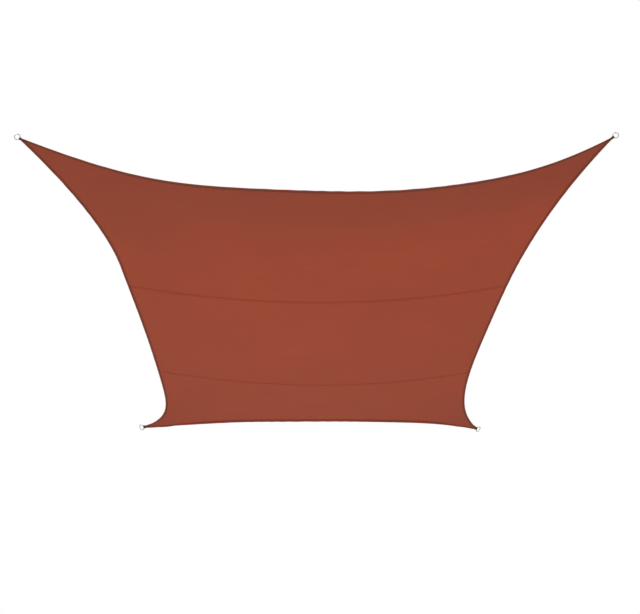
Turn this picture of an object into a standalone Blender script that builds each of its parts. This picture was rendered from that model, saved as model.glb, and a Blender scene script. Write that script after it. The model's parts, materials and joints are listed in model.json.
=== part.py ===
"""Shade sail: three cloth panels sewn along two seams, with a strap and a steel ring at each corner.

The sail hangs between four corner points, where the lines of its edges meet. They make a rectangle in the
plane Z = 0 apart from a small twist, and the origin is that rectangle's centre. Three rings have their
middles in these points, and the front left one stays a little short of its own. X runs across the sail,
Y along it from the front edge to the back edge, and Z is up. Lengths are in metres.
"""

import math
from typing import NamedTuple

import bmesh
import bpy
from mathutils import Matrix, Vector

# ---- The sail's outline and its hang ----------------------------------------------------------

ACROSS = 3.0  # between the left and the right corners
ALONG = 4.0  # between the front and the back corners
CORNER_TWIST = 0.0243  # the back left corner is this much above the plane, the back right one below


class Bow(NamedTuple):
    """A line that leaves its chord and comes back to it, such as a hollow-cut edge or a sagging one."""

    depth: float  # furthest distance from the chord
    peak: float  # where that is, as a share of the chord
    start: float  # fullness before the peak: 2 is a parabola, and more is squarer
    end: float  # fullness after the peak
    waves: tuple = ()  # heights of slow waves on top, of one half wave in the chord, of two, and so on

    def at(self, share):
        """Distance from the chord at a share of its length."""
        if share < self.peak:
            bowed = 1 - ((self.peak - share) / self.peak) ** self.start
        else:
            bowed = 1 - ((share - self.peak) / (1 - self.peak)) ** self.end
        waved = sum(size * math.sin(halves * math.pi * share) for halves, size in enumerate(self.waves, 1))
        return self.depth * bowed + waved


# Each edge is cut hollow, by this much from the straight line between its corners.
CUT = {
    "front": Bow(depth=0.266, peak=0.493, start=2.83, end=5.70, waves=(0, 0.0081, 0, 0.0123)),
    "back": Bow(depth=0.357, peak=0.495, start=1.72, end=2.63, waves=(0, 0, 0.0044, -0.0044, 0, -0.0069)),
    "left": Bow(depth=0.332, peak=0.277, start=2.04, end=9.94, waves=(0, 0, -0.0080)),
    "right": Bow(depth=0.300, peak=0.498, start=3.42, end=3.97, waves=(0, 0, -0.0043, 0.0035)),
}
SIDE_DROP = Bow(depth=0.0894, peak=0.246, start=2.13, end=1.955)  # of the side edges, below the corners
BELLY = Bow(depth=0.1375, peak=0.468, start=2.00, end=2.00)  # along the middle line, on top of these two
FRONT_DROP = 0.1125  # where the middle line meets the front corners' line
BACK_DROP = 0.0286
ARCH = Bow(depth=1.0, peak=0.509, start=2.00, end=2.00)  # share of the middle line's drop, across
LIP = 0.013  # the back hem tips down, so that the cloth stands this much higher along its inner line
LIP_RUN = 0.50  # from the back edge to where the cloth is as if it didn't
LIP_FADE = 0.15  # share of the width over which the hem lies flat again towards a corner


class Tilt(NamedTuple):
    """How the cloth at a back corner is turned about its line of pull, with its under side to the front."""

    bearing: float  # degrees from the sail's width to the line of pull, seen from above
    slope: float  # of the tip, across that line
    reach: float  # from the corner to where the cloth lies level again
    edge_slope: float  # of the cloth along the back edge, further in
    edge_reach: float

    def drop(self, beside, inside):
        """How much it lowers the cloth, at distances from the corner across the sail and along it."""
        bearing = math.radians(self.bearing)
        run = beside * math.cos(bearing) + inside * math.sin(bearing)
        off = beside * math.sin(bearing) - inside * math.cos(bearing)
        tip = self.slope * min(max(1 - run / self.reach, 0), 1) ** 1.5
        share = min(max(run / self.edge_reach, 0), 1)
        behind = max(off, 0) ** 2 / (abs(off) + TILT_BLUR)
        return off * tip + self.edge_slope * 4 * share * (1 - share) * behind


TILT_BLUR = 0.006  # distance from the line of pull over which the back edge's tilt begins
TILTS = (
    Tilt(bearing=30.9, slope=0.70, reach=0.15, edge_slope=0.17, edge_reach=0.30),
    Tilt(bearing=44.5, slope=0.70, reach=0.13, edge_slope=0.04, edge_reach=0.30),
)

# ---- The cloth --------------------------------------------------------------------------------

CLOTH = 0.0016  # thickness of the knitted cloth
HEM = 0.0030  # thickness of the folded hem
HEM_WIDTH = 0.022
BACK_HEM_WIDTH = 0.034
HEM_STEP = 0.004  # over which the hem thins down to the single cloth
SEAM_LAP = 0.020  # each panel's edge lies on the one in front of it by this much
LAP_STEP = 0.012  # over which it comes back down
GAP = 0.0003  # left between pieces that touch
SEAM_Y = (-ALONG / 6, ALONG / 6)  # three panels of equal width
COLUMNS = 30  # facets across the sail
CROWDING = 1.5  # how much closer the facets lie towards a hemmed edge

# ---- Straps and rings -------------------------------------------------------------------------


class Fitting(NamedTuple):
    """The sizes of a corner's strap and ring, and where the cloth ends there."""

    tip_cut: float  # the cloth's corner stops this far short of the ring's middle
    strap_width: float
    strap_leg: float  # how far each leg of the strap lies on the cloth
    ring_radius: float  # to the middle of the wire
    wire_radius: float


# The front corners have small fittings, and the back corners large ones.
FITTINGS = (
    Fitting(tip_cut=0.025, strap_width=0.012, strap_leg=0.022, ring_radius=0.0138, wire_radius=0.0024),
    Fitting(tip_cut=0.044, strap_width=0.027, strap_leg=0.036, ring_radius=0.0235, wire_radius=0.0035),
)
STRAP = 0.0015  # thickness of the webbing
LEG_CLEARANCE = 0.0008  # from the strap to the cloth's faces
WIRE_CLEARANCE = 0.0008  # from the strap to the ring's wire
STRAP_COLUMNS = 4
LEG_STEPS = 4  # along each leg of the strap
TURN_STEPS = 4  # from the cloth to the wire, where the strap turns
NOSE_STEPS = 8  # round the wire
RING_STEPS = 24
WIRE_SIDES = 8

CORNER_REACH = 0.03  # share of each edge over which its direction at the corner is taken
CREASE = math.radians(30)  # faces that meet at more than this stay sharp
CUT_SNAP = 0.0003  # points this close to the cut across a corner count as on it


class Corner(NamedTuple):
    """A corner of the sail, by its shares across and along, and how its ring is held there."""

    name: str
    across: int
    along: int
    turn: float  # degrees that the ring and the end of its strap are turned about the line of pull
    short: float  # the ring's middle stays this far inside the corner point


CORNERS = (
    Corner("front_left", across=0, along=0, turn=40, short=0.005),
    Corner("front_right", across=1, along=0, turn=-40, short=0.0),
    Corner("back_left", across=0, along=1, turn=27, short=0.0),
    Corner("back_right", across=1, along=1, turn=-27, short=0.0),
)


# ---- The sail's surface -----------------------------------------------------------------------


def share_along(y):
    """Share of the sail's length at y."""
    return y / ALONG + 0.5


def side_x(y, side):
    """X of the left (0) or right (1) edge at y."""
    share = share_along(y)
    if side == 0:
        return CUT["left"].at(share) - ACROSS / 2
    return ACROSS / 2 - CUT["right"].at(share)


def side_slant(y, side):
    """How much longer the side edge is there than its length along Y."""
    step = 0.005
    return math.hypot(1, (side_x(y + step, side) - side_x(y - step, side)) / (2 * step))


def free_edge_y(side, across):
    """Y of the front (0) or back (1) edge at a share across."""
    if side == 0:
        return CUT["front"].at(across) - ALONG / 2
    return ALONG / 2 - CUT["back"].at(across)


def lip(across, inside):
    """How much the back hem's tipping lifts the cloth, at a distance inside the back edge."""
    if not (0 < inside < LIP_RUN and 0 < across < 1):
        return 0.0
    near_corner = min(across, 1 - across, LIP_FADE) / LIP_FADE
    fade = near_corner**2 * (3 - 2 * near_corner)
    if inside < BACK_HEM_WIDTH:
        return LIP * fade * inside / BACK_HEM_WIDTH
    return LIP * fade * ((LIP_RUN - inside) / (LIP_RUN - BACK_HEM_WIDTH)) ** 2


def height(x, y):
    """Z of the cloth's middle surface above the point x, y."""
    along = share_along(y)
    left = side_x(y, 0)
    across = (x - left) / (side_x(y, 1) - left)
    side = SIDE_DROP.at(along)
    middle = FRONT_DROP * (1 - along) + BACK_DROP * along + BELLY.at(along)
    twist = CORNER_TWIST * along * (1 - 2 * across)
    tipped = lip(across, free_edge_y(1, across) - y)
    tilted = TILTS[0].drop(x + ACROSS / 2, ALONG / 2 - y) + TILTS[1].drop(ACROSS / 2 - x, ALONG / 2 - y)
    return twist - side - (middle - side) * ARCH.at(across) + tipped - tilted


def on_sail(x, y):
    """The point of the cloth's middle surface above x, y."""
    return Vector((x, y, height(x, y)))


def sail_normal(x, y):
    """The cloth's upward normal above x, y."""
    step = 0.002
    run_x = on_sail(x + step, y) - on_sail(x - step, y)
    run_y = on_sail(x, y + step) - on_sail(x, y - step)
    return run_x.cross(run_y).normalized()


# ---- Corners ----------------------------------------------------------------------------------


class CornerFrame(NamedTuple):
    """Where the middle of a corner's ring lies, and the directions of strap and ring."""

    point: Vector
    pull: Vector  # out of the sail, along the line in which the corner is pulled
    width: Vector  # across the strap, where the cloth's corner ends
    ring_width: Vector  # across the strap, where it goes round the ring
    ring_normal: Vector
    fitting: Fitting


def corner_frame(corner):
    """Works out a corner's directions from the two edges that meet there."""
    y = (corner.along - 0.5) * ALONG
    point = on_sail(side_x(y, corner.across), y)
    edge_share = abs(corner.across - CORNER_REACH)
    edge_y = free_edge_y(corner.along, edge_share)
    left = side_x(edge_y, 0)
    on_free_edge = on_sail(left + edge_share * (side_x(edge_y, 1) - left), edge_y)
    side_y = (abs(corner.along - CORNER_REACH) - 0.5) * ALONG
    on_side_edge = on_sail(side_x(side_y, corner.across), side_y)
    inward = (on_free_edge - point).normalized() + (on_side_edge - point).normalized()
    pull = -inward.normalized()
    point = point - pull * corner.short
    fitting = FITTINGS[corner.along]
    inside = point - pull * fitting.tip_cut
    width = sail_normal(inside.x, inside.y).cross(pull).normalized()
    turned = Matrix.Rotation(math.radians(corner.turn), 3, pull) @ width
    return CornerFrame(point, pull, width, turned, pull.cross(turned).normalized(), fitting)


# ---- Building blocks --------------------------------------------------------------------------


def material(name, colour, roughness, metallic=0.0):
    """A plain material."""
    made = bpy.data.materials.new(name)
    made.use_nodes = True
    shader = made.node_tree.nodes["Principled BSDF"]
    shader.inputs["Base Color"].default_value = (*colour, 1.0)
    shader.inputs["Roughness"].default_value = roughness
    shader.inputs["Metallic"].default_value = metallic
    return made


def add_object(name, mesh, finish, collection):
    """An object for a mesh, in its collection and with its material."""
    made = bpy.data.objects.new(name, mesh)
    mesh.materials.append(finish)
    collection.objects.link(made)
    return made


def sheet_mesh(name, rows):
    """An open sheet through rows of points, all of one length. It faces up where rows run along +Y."""
    shape = bmesh.new()
    bmesh.ops.create_grid(shape, x_segments=len(rows[0]) - 1, y_segments=len(rows) - 1, size=0.5)
    shape.verts.ensure_lookup_table()
    for vert, point in zip(shape.verts, (point for row in rows for point in row)):
        vert.co = point
    mesh = bpy.data.meshes.new(name)
    shape.to_mesh(mesh)
    shape.free()
    return mesh


def thicken(made, thickness):
    """Gives a sheet its thickness, half on each side."""
    solid = made.modifiers.new("thickness", "SOLIDIFY")
    solid.thickness = thickness
    solid.offset = 0.0
    return solid


# ---- Panels -----------------------------------------------------------------------------------


class Line(NamedTuple):
    """A row or a column of a panel: a share of the way across it, and a further distance."""

    share: float
    inset: float
    weight: float  # 1 in the hem, 0 in the single cloth
    lift: float = 0.0  # 1 where it lies on the panel in front


class Panel(NamedTuple):
    """A strip of cloth from one line across the sail to the next: 0 and 3 are its free edges."""

    name: str
    start: int
    end: int
    rows: int


PANELS = (
    Panel("panel_front", start=0, end=1, rows=11),
    Panel("panel_middle", start=1, end=2, rows=10),
    Panel("panel_back", start=2, end=3, rows=13),
)


def line_y(index, across, side):
    """Y of a line across the sail. At a seam, a panel reaches past it by half the lap."""
    if index == 0:
        return free_edge_y(0, across)
    if index == 3:
        return free_edge_y(1, across)
    return SEAM_Y[index - 1] + side * SEAM_LAP / 2


def lines_between(first, last, shares):
    """Lines at shares of the way from the innermost of the first lines to that of the last ones."""
    near, far = first[-1].inset, last[0].inset
    return [Line(share, near * (1 - share) + far * share, 0) for share in shares]


def panel_rows(panel):
    """The panel's rows, from front to back."""
    crowd_start = CROWDING if panel.start == 0 else 1.0
    crowd_end = CROWDING if panel.end == 3 else 1.0
    if panel.start == 0:
        first = [Line(0, 0, 1), Line(0, HEM_WIDTH, 1), Line(0, HEM_WIDTH + HEM_STEP, 0)]
    else:
        first = [Line(0, 0, 0, 1), Line(0, SEAM_LAP, 0, 1), Line(0, SEAM_LAP + LAP_STEP, 0)]
    if panel.end == 3:
        hem_inner = BACK_HEM_WIDTH + HEM_STEP
        last = [Line(1, -hem_inner, 0), Line(1, -BACK_HEM_WIDTH, 1), Line(1, 0, 1)]
    else:
        last = [Line(1, -SEAM_LAP, 0), Line(1, 0, 0)]
    even = [step / panel.rows for step in range(1, panel.rows)]
    shares = [1 - (1 - share**crowd_start) ** crowd_end for share in even]
    return first + lines_between(first, last, shares) + last


def panel_columns():
    """The columns of every panel, from left to right."""
    hem_inner = HEM_WIDTH + HEM_STEP
    first = [Line(0, 0, 1), Line(0, HEM_WIDTH, 1), Line(0, hem_inner, 0)]
    last = [Line(1, -hem_inner, 0), Line(1, -HEM_WIDTH, 1), Line(1, 0, 1)]
    shares = [step / COLUMNS for step in range(1, COLUMNS)]
    return first + lines_between(first, last, shares) + last


def panel_point(panel, row, column):
    """Where a row and a column of a panel cross."""
    across = column.share + column.inset / ACROSS
    start = line_y(panel.start, across, -1)
    end = line_y(panel.end, across, 1)
    y = start + row.share * (end - start) + row.inset
    left = side_x(y, 0)
    x = left + column.share * (side_x(y, 1) - left)
    x += column.inset * side_slant(y, round(column.share))
    thickness = CLOTH + (HEM - CLOTH) * column.weight
    return on_sail(x, y) + Vector((0, 0, row.lift * (thickness + GAP)))


def cut_tip(mesh, frame):
    """Ends the cloth square to the line of pull, a little short of the ring's middle."""
    shape = bmesh.new()
    shape.from_mesh(mesh)
    bmesh.ops.bisect_plane(
        shape,
        geom=shape.verts[:] + shape.edges[:] + shape.faces[:],
        dist=CUT_SNAP,
        plane_co=frame.point - frame.pull * frame.fitting.tip_cut,
        plane_no=frame.pull,
        clear_outer=True,
    )
    shape.to_mesh(mesh)
    shape.free()


def add_panel(panel, frames, finish, collection):
    """A cloth panel, with its hem and with the laps of its seams."""
    rows = panel_rows(panel)
    columns = panel_columns()
    points = [[panel_point(panel, row, column) for column in columns] for row in rows]
    mesh = sheet_mesh(panel.name, points)
    made = add_object(panel.name, mesh, finish, collection)
    hem = made.vertex_groups.new(name="hem")
    for index, (row, column) in enumerate((row, column) for row in rows for column in columns):
        hem.add([index], max(row.weight, column.weight), "REPLACE")
    for corner in CORNERS:
        if (panel.start, panel.end)[corner.along] in (0, 3):
            cut_tip(mesh, frames[corner.name])
    solid = thicken(made, HEM)
    solid.vertex_group = hem.name
    solid.thickness_vertex_group = CLOTH / HEM
    mesh.shade_smooth()
    mesh.set_sharp_from_angle(angle=CREASE)
    return made


# ---- Straps and rings -------------------------------------------------------------------------


def wire_centre(frame, offset=0.0):
    """The middle of the ring's wire where the strap holds it, or beside that by an offset across."""
    inward = math.sqrt(frame.fitting.ring_radius**2 - offset**2)
    return frame.point - frame.pull * inward + frame.ring_width * offset


def strap_line(frame, offset):
    """Points along the strap's middle surface, at an offset across it: in on the upper face of the
    cloth, round the ring's wire and back on the lower face."""
    leg_height = HEM / 2 + LEG_CLEARANCE + STRAP / 2
    nose_radius = frame.fitting.wire_radius + WIRE_CLEARANCE + STRAP / 2
    wire = wire_centre(frame, offset)
    slant = frame.fitting.ring_radius / (frame.point - wire).dot(frame.pull)
    upper = []
    lower = []
    for step in range(LEG_STEPS + 1):
        reach = frame.fitting.tip_cut + frame.fitting.strap_leg * (1 - step / LEG_STEPS)
        flat = frame.point - frame.pull * reach + frame.width * offset
        normal = sail_normal(flat.x, flat.y)
        upper.append(on_sail(flat.x, flat.y) + normal * leg_height)
        lower.append(on_sail(flat.x, flat.y) - normal * leg_height)
    tip = (upper[-1] + lower[-1]) / 2
    tip_normal = (upper[-1] - lower[-1]).normalized()
    for step in range(1, TURN_STEPS):
        share = step / TURN_STEPS
        middle = tip.lerp(wire, share)
        normal = tip_normal.lerp(frame.ring_normal, share).normalized()
        away = leg_height + (nose_radius - leg_height) * share
        upper.append(middle + normal * away)
        lower.append(middle - normal * away)
    nose = []
    for step in range(NOSE_STEPS + 1):
        turn = math.pi * step / NOSE_STEPS
        outward = frame.ring_normal * math.cos(turn) + frame.pull * math.sin(turn) * slant
        nose.append(wire + outward * nose_radius)
    return upper + nose + lower[::-1]


def add_strap(corner, frame, finish, collection):
    """The webbing strap that holds a corner's ring."""
    width = frame.fitting.strap_width
    offsets = [width * (step / STRAP_COLUMNS - 0.5) for step in range(STRAP_COLUMNS + 1)]
    rows = list(zip(*(strap_line(frame, offset) for offset in offsets)))
    name = f"strap_{corner.name}"
    mesh = sheet_mesh(name, rows)
    made = add_object(name, mesh, finish, collection)
    thicken(made, STRAP)
    mesh.shade_smooth()
    mesh.set_sharp_from_angle(angle=CREASE)
    return made


def wire_mesh(fitting, finish):
    """The circle that is turned about Z into a ring, with a facet square to X on its inner side."""
    shape = bmesh.new()
    facet = math.pi / WIRE_SIDES
    start = Matrix.Rotation(-math.pi / RING_STEPS, 4, "Z")
    upright = Matrix.Rotation(math.pi / 2, 4, "X")
    place = start @ Matrix.Translation((fitting.ring_radius, 0, 0)) @ upright @ Matrix.Rotation(facet, 4, "Z")
    bmesh.ops.create_circle(shape, segments=WIRE_SIDES, radius=fitting.wire_radius, matrix=place)
    mesh = bpy.data.meshes.new("ring_wire")
    shape.to_mesh(mesh)
    shape.free()
    mesh.materials.append(finish)
    return mesh


def add_ring(corner, frame, mesh, collection):
    """A corner's steel ring, with its X axis along the line of pull."""
    made = bpy.data.objects.new(f"ring_{corner.name}", mesh)
    collection.objects.link(made)
    turned = made.modifiers.new("turned", "SCREW")
    turned.axis = "Z"
    turned.angle = 2 * math.pi
    turned.steps = RING_STEPS
    turned.render_steps = RING_STEPS
    turned.use_merge_vertices = True
    turned.merge_threshold = 0.00001
    turned.use_smooth_shade = True
    axes = Matrix((frame.pull, frame.ring_width, frame.ring_normal)).transposed().to_4x4()
    made.matrix_world = Matrix.Translation(frame.point) @ axes
    return made


# ---- The sail ---------------------------------------------------------------------------------


def build_sail():
    """Builds the whole sail in a collection of its own."""
    collection = bpy.data.collections.new("shade_sail")
    bpy.context.scene.collection.children.link(collection)
    cloth = material("sail_cloth", colour=(0.305, 0.065, 0.038), roughness=0.85)
    webbing = material("strap_webbing", colour=(0.085, 0.032, 0.022), roughness=0.8)
    steel = material("ring_steel", colour=(0.62, 0.62, 0.63), roughness=0.3, metallic=1.0)
    frames = {corner.name: corner_frame(corner) for corner in CORNERS}
    for panel in PANELS:
        add_panel(panel, frames, cloth, collection)
    wires = [wire_mesh(fitting, steel) for fitting in FITTINGS]
    for corner in CORNERS:
        frame = frames[corner.name]
        add_strap(corner, frame, webbing, collection)
        add_ring(corner, frame, wires[corner.along], collection)


for leftover in list(bpy.data.objects):
    bpy.data.objects.remove(leftover)
build_sail()
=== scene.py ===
"""A shade sail and its looks: knitted cloth panels, folded hems, lapped seams, thread, straps and rings.

Lengths are in metres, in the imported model's frame: X runs across the sail, Y along it from the front
edge to the back edge, and Z is up. The sail hangs between four corner points round the origin, and it
is seen from below its front edge. A share goes from 0 to 1, from left to right or from front to back.
"""

import json
import logging
import math
from dataclasses import dataclass
from enum import Enum
from typing import NamedTuple, Sequence

import bmesh
import bpy
import numpy as np
from mathutils import Matrix, Vector

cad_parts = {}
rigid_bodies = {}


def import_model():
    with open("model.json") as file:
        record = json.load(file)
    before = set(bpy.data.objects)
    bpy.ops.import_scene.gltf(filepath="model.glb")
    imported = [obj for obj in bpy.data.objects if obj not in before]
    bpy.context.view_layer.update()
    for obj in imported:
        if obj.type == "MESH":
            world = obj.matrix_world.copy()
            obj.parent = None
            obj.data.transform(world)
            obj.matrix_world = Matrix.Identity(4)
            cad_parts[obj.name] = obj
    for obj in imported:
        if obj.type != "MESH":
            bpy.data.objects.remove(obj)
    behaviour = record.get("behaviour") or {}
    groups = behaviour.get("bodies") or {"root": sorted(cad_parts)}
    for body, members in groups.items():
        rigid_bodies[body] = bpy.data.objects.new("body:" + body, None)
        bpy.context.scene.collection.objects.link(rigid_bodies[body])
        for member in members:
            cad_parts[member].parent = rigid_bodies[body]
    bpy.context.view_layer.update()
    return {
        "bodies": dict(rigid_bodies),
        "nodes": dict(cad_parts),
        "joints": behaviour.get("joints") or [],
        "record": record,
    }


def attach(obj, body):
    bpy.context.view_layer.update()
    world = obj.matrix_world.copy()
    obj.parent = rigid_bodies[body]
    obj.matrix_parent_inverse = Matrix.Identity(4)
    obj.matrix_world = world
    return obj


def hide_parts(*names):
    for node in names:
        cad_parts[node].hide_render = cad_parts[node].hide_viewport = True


LOG = logging.getLogger("shade_sail")
BODY = "root"
FULL_TURN = 2.0 * math.pi

Array = np.ndarray
Colour = tuple[float, float, float]
Span = tuple[float, float]
Floats = tuple[float, ...]
Socket = bpy.types.NodeSocket


# ---- Small helpers


def unit(vectors: Array) -> Array:
    """Vectors scaled to a length of 1."""
    return vectors / np.linalg.norm(vectors, axis=-1, keepdims=True)


def within(value: Array, start: float, end: float) -> Array:
    """How far a value is on its way from the start to the end, held from 0 to 1."""
    return np.clip((value - start) / (end - start), 0.0, 1.0)


def between(first: Array, last: Array, share: Array) -> Array:
    """What lies a share of the way from the first value to the last."""
    return first + share * (last - first)


def ease(value: Array, start: float = 0.0, end: float = 1.0) -> Array:
    """A smooth step from 0 at the start to 1 at the end."""
    share = within(value, start, end)
    return share * share * (3.0 - 2.0 * share)


def bell(distance: Array, width: float) -> Array:
    """A bell curve of height 1 that has faded out at about twice its width."""
    return np.exp(-((distance / width) ** 2))


def run_length(points: Array) -> Array:
    """Distance along a line of points, from its first point to each."""
    steps = np.linalg.norm(np.diff(points, axis=0), axis=-1)
    return np.concatenate([[0.0], np.cumsum(steps)])


def resample(rows: Array, run: Array, places: Array) -> Array:
    """Reads rows of vectors, which lie at some distances, at other distances."""
    return np.stack([np.interp(places, run, rows[:, axis]) for axis in range(3)], axis=-1)


def along_heading(x: Array, y: Array, heading: float) -> tuple[Array, Array]:
    """Distances along a heading and to the left of it."""
    ahead, aside = math.cos(heading), math.sin(heading)
    return x * ahead + y * aside, y * ahead - x * aside


# ---- The sail's shape


class Face(Enum):
    """The two faces of the cloth, with the side of the middle surface that each lies on."""

    UPPER = 1
    UNDER = -1


class Edge(Enum):
    """The sail's edges: which way out each lies, from front to back or from left to right."""

    FRONT = ("front", -1, 0.0)
    BACK = ("back", 1, 0.4)
    LEFT = ("left", -1, 0.0)
    RIGHT = ("right", 1, 1.0)

    def __init__(self, label: str, out: int, first_pucker: float) -> None:
        """Keeps the edge's name, its way out and the metres that its puckers are shifted by."""
        self.label, self.out, self.first_pucker = label, out, first_pucker


ENDS = (Edge.FRONT, Edge.BACK)
SIDES = (Edge.LEFT, Edge.RIGHT)


class Fitting(NamedTuple):
    """The sizes of a corner's strap and ring, and where the cloth ends there."""

    tip_cut: float  # the cloth stops this far short of the ring's middle
    strap_width: float
    strap_leg: float  # how far each leg of the strap lies on the cloth
    ring_radius: float  # to the middle of the wire
    wire: float  # radius

    @property
    def reach(self) -> float:
        """From the ring's middle to the strap's end."""
        return self.tip_cut + self.strap_leg


FITTINGS = {
    Edge.FRONT: Fitting(tip_cut=0.025, strap_width=0.012, strap_leg=0.022, ring_radius=0.0138, wire=0.0024),
    Edge.BACK: Fitting(tip_cut=0.044, strap_width=0.027, strap_leg=0.036, ring_radius=0.0235, wire=0.0035),
}


class Corner(Enum):
    """The sail's corners: the two edges that meet, the ring's turn, and how far it is short of the point."""

    FRONT_LEFT = (Edge.LEFT, Edge.FRONT, 40.0, 0.005)
    FRONT_RIGHT = (Edge.RIGHT, Edge.FRONT, -40.0, 0.0)
    BACK_LEFT = (Edge.LEFT, Edge.BACK, 27.0, 0.0)
    BACK_RIGHT = (Edge.RIGHT, Edge.BACK, -27.0, 0.0)

    def __init__(self, side: Edge, end: Edge, turn: float, short: float) -> None:
        """Keeps what a corner is made with.

        Args:
            side: The edge to the left or right.
            end: The edge to the front or back.
            turn: Degrees that the ring is turned about the line of pull.
            short: Metres that the ring's middle stays short of the corner point.
        """
        self.side, self.end, self.short = side, end, short
        self.turn = math.radians(turn)
        self.fitting = FITTINGS[end]
        self.label = self.name.lower()


@dataclass(frozen=True)
class Bow:
    """A line that leaves its chord and comes back to it, such as a hollow-cut edge or a sagging one.

    The fullness is the power of the curve on each side of the peak: 2 is a parabola, more is squarer.
    The waves are slow ones on top, of one half wave in the chord, of two, and so on.
    """

    depth: float
    peak: float  # share of the chord where it is deepest
    start: float  # fullness before the peak
    end: float  # fullness after it
    waves: Floats = ()

    def at(self, share: Array) -> Array:
        """Distance from the chord.

        Args:
            share: Places along the chord.

        Returns:
            The distance at each place.
        """
        before = np.maximum((self.peak - share) / self.peak, 0.0) ** self.start
        after = np.maximum((share - self.peak) / (1.0 - self.peak), 0.0) ** self.end
        waves = [size * np.sin(halves * math.pi * share) for halves, size in enumerate(self.waves, 1)]
        return self.depth * (1.0 - before - after) + sum(waves)


CUTS = {
    Edge.FRONT: Bow(0.266, peak=0.493, start=2.83, end=5.70, waves=(0.0, 0.0081, 0.0, 0.0123)),
    Edge.BACK: Bow(0.357, peak=0.495, start=1.72, end=2.63, waves=(0.0, 0.0, 0.0044, -0.0044, 0.0, -0.0069)),
    Edge.LEFT: Bow(0.332, peak=0.277, start=2.04, end=9.94, waves=(0.0, 0.0, -0.0080)),
    Edge.RIGHT: Bow(0.300, peak=0.498, start=3.42, end=3.97, waves=(0.0, 0.0, -0.0043, 0.0035)),
}


class Crease(NamedTuple):
    """A soft trough, or a ridge where its depth is negative, that fans out from a corner."""

    bearing: float  # degrees from the line of pull
    start: float  # metres from the ring's middle
    end: float
    width: float
    depth: float

    def at(self, run: Array, off: Array) -> Array:
        """How far the crease lowers the cloth.

        Args:
            run: Distances along it from the ring's middle.
            off: Distances from its line.

        Returns:
            Metres at each place.
        """
        share = (run - self.start) / (self.end - self.start)
        deepening, fading = 3.0, 1.4  # how quickly it begins and ends
        narrowest, widening = 0.6, 0.8  # shares of its width
        swell = ease(share * deepening) * ease((1.0 - share) * fading)
        spread = narrowest + widening * np.clip(share, 0.0, 1.0)
        return self.depth * swell * bell(off / spread, self.width)


CREASES = {
    Corner.FRONT_LEFT: (
        Crease(bearing=-13.0, start=0.14, end=0.98, width=0.030, depth=0.0016),
        Crease(bearing=-4.0, start=0.11, end=0.72, width=0.022, depth=-0.0012),
        Crease(bearing=5.0, start=0.13, end=1.15, width=0.034, depth=0.0019),
        Crease(bearing=13.0, start=0.20, end=0.80, width=0.025, depth=-0.0011),
    ),
    Corner.FRONT_RIGHT: (
        Crease(bearing=-10.0, start=0.16, end=0.85, width=0.028, depth=-0.0013),
        Crease(bearing=1.0, start=0.10, end=1.05, width=0.032, depth=0.0018),
        Crease(bearing=10.0, start=0.13, end=0.70, width=0.024, depth=0.0014),
    ),
    Corner.BACK_LEFT: (
        Crease(bearing=-7.0, start=0.12, end=0.74, width=0.024, depth=0.0015),
        Crease(bearing=3.0, start=0.10, end=0.95, width=0.029, depth=-0.0016),
        Crease(bearing=12.0, start=0.18, end=0.66, width=0.026, depth=0.0012),
    ),
    Corner.BACK_RIGHT: (
        Crease(bearing=-9.0, start=0.11, end=0.90, width=0.030, depth=0.0017),
        Crease(bearing=0.0, start=0.13, end=0.62, width=0.022, depth=-0.0013),
        Crease(bearing=9.0, start=0.15, end=0.80, width=0.027, depth=0.0014),
    ),
}


class Ripple(NamedTuple):
    """Puckers along a line of stitching."""

    height: float
    spacing: float
    wander: float  # spacing of the slow change that makes them uneven
    reach: float  # to each side of the line
    drift: float = 2.1  # how far that shifts them, in radians
    swing: float = 0.4  # how much stronger and weaker they get
    swell: float = 2.7  # spacing of stronger and weaker puckers, in wanders
    swell_start: float = 0.8  # radians

    def at(self, run: Array, away: Array) -> Array:
        """Height of the puckers.

        Args:
            run: Metres along the line of stitching.
            away: Metres from it.

        Returns:
            Metres above the cloth, at each place.
        """
        phase = FULL_TURN * run / self.spacing + self.drift * np.sin(FULL_TURN * run / self.wander)
        swell = np.sin(FULL_TURN * run / (self.swell * self.wander) + self.swell_start)
        strength = 1.0 - self.swing + self.swing * swell
        return self.height * strength * np.sin(phase) * bell(away, self.reach)


class Tilt(NamedTuple):
    """How the cloth at a back corner is turned about its line of pull, with its under side to the front."""

    bearing: float  # degrees from the sail's width to the line of pull, seen from above
    slope: float  # of the tip, across that line
    reach: float  # from the corner to where the cloth lies level again
    edge_slope: float  # of the cloth along the back edge, further in
    edge_reach: float
    blur: float = 0.006  # distance from the line of pull over which that begins
    tip_fade: float = 1.5  # power of the tip's fading

    def drop(self, beside: Array, inside: Array) -> Array:
        """How much the tilt lowers the cloth.

        Args:
            beside: Distances from the corner across the sail, towards its middle.
            inside: Distances from it along the sail, towards its middle.

        Returns:
            Metres at each place.
        """
        run, left = along_heading(beside, inside, math.radians(self.bearing))
        tip = self.slope * (1.0 - within(run, 0.0, self.reach)) ** self.tip_fade
        share = within(run, 0.0, self.edge_reach)
        behind = np.maximum(-left, 0.0) ** 2 / (np.abs(left) + self.blur)
        return self.edge_slope * 4.0 * share * (1.0 - share) * behind - left * tip


TILTS = {
    Edge.LEFT: Tilt(bearing=30.9, slope=0.70, reach=0.15, edge_slope=0.17, edge_reach=0.30),
    Edge.RIGHT: Tilt(bearing=44.5, slope=0.70, reach=0.13, edge_slope=0.04, edge_reach=0.30),
}


class CornerFrame(NamedTuple):
    """The middle of a corner's ring, and the directions of its strap and ring."""

    point: Array
    pull: Array  # out of the sail
    width: Array  # across the strap, where it lies on the cloth
    ring_width: Array  # across the strap, where it goes round the ring
    ring_normal: Array


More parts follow.
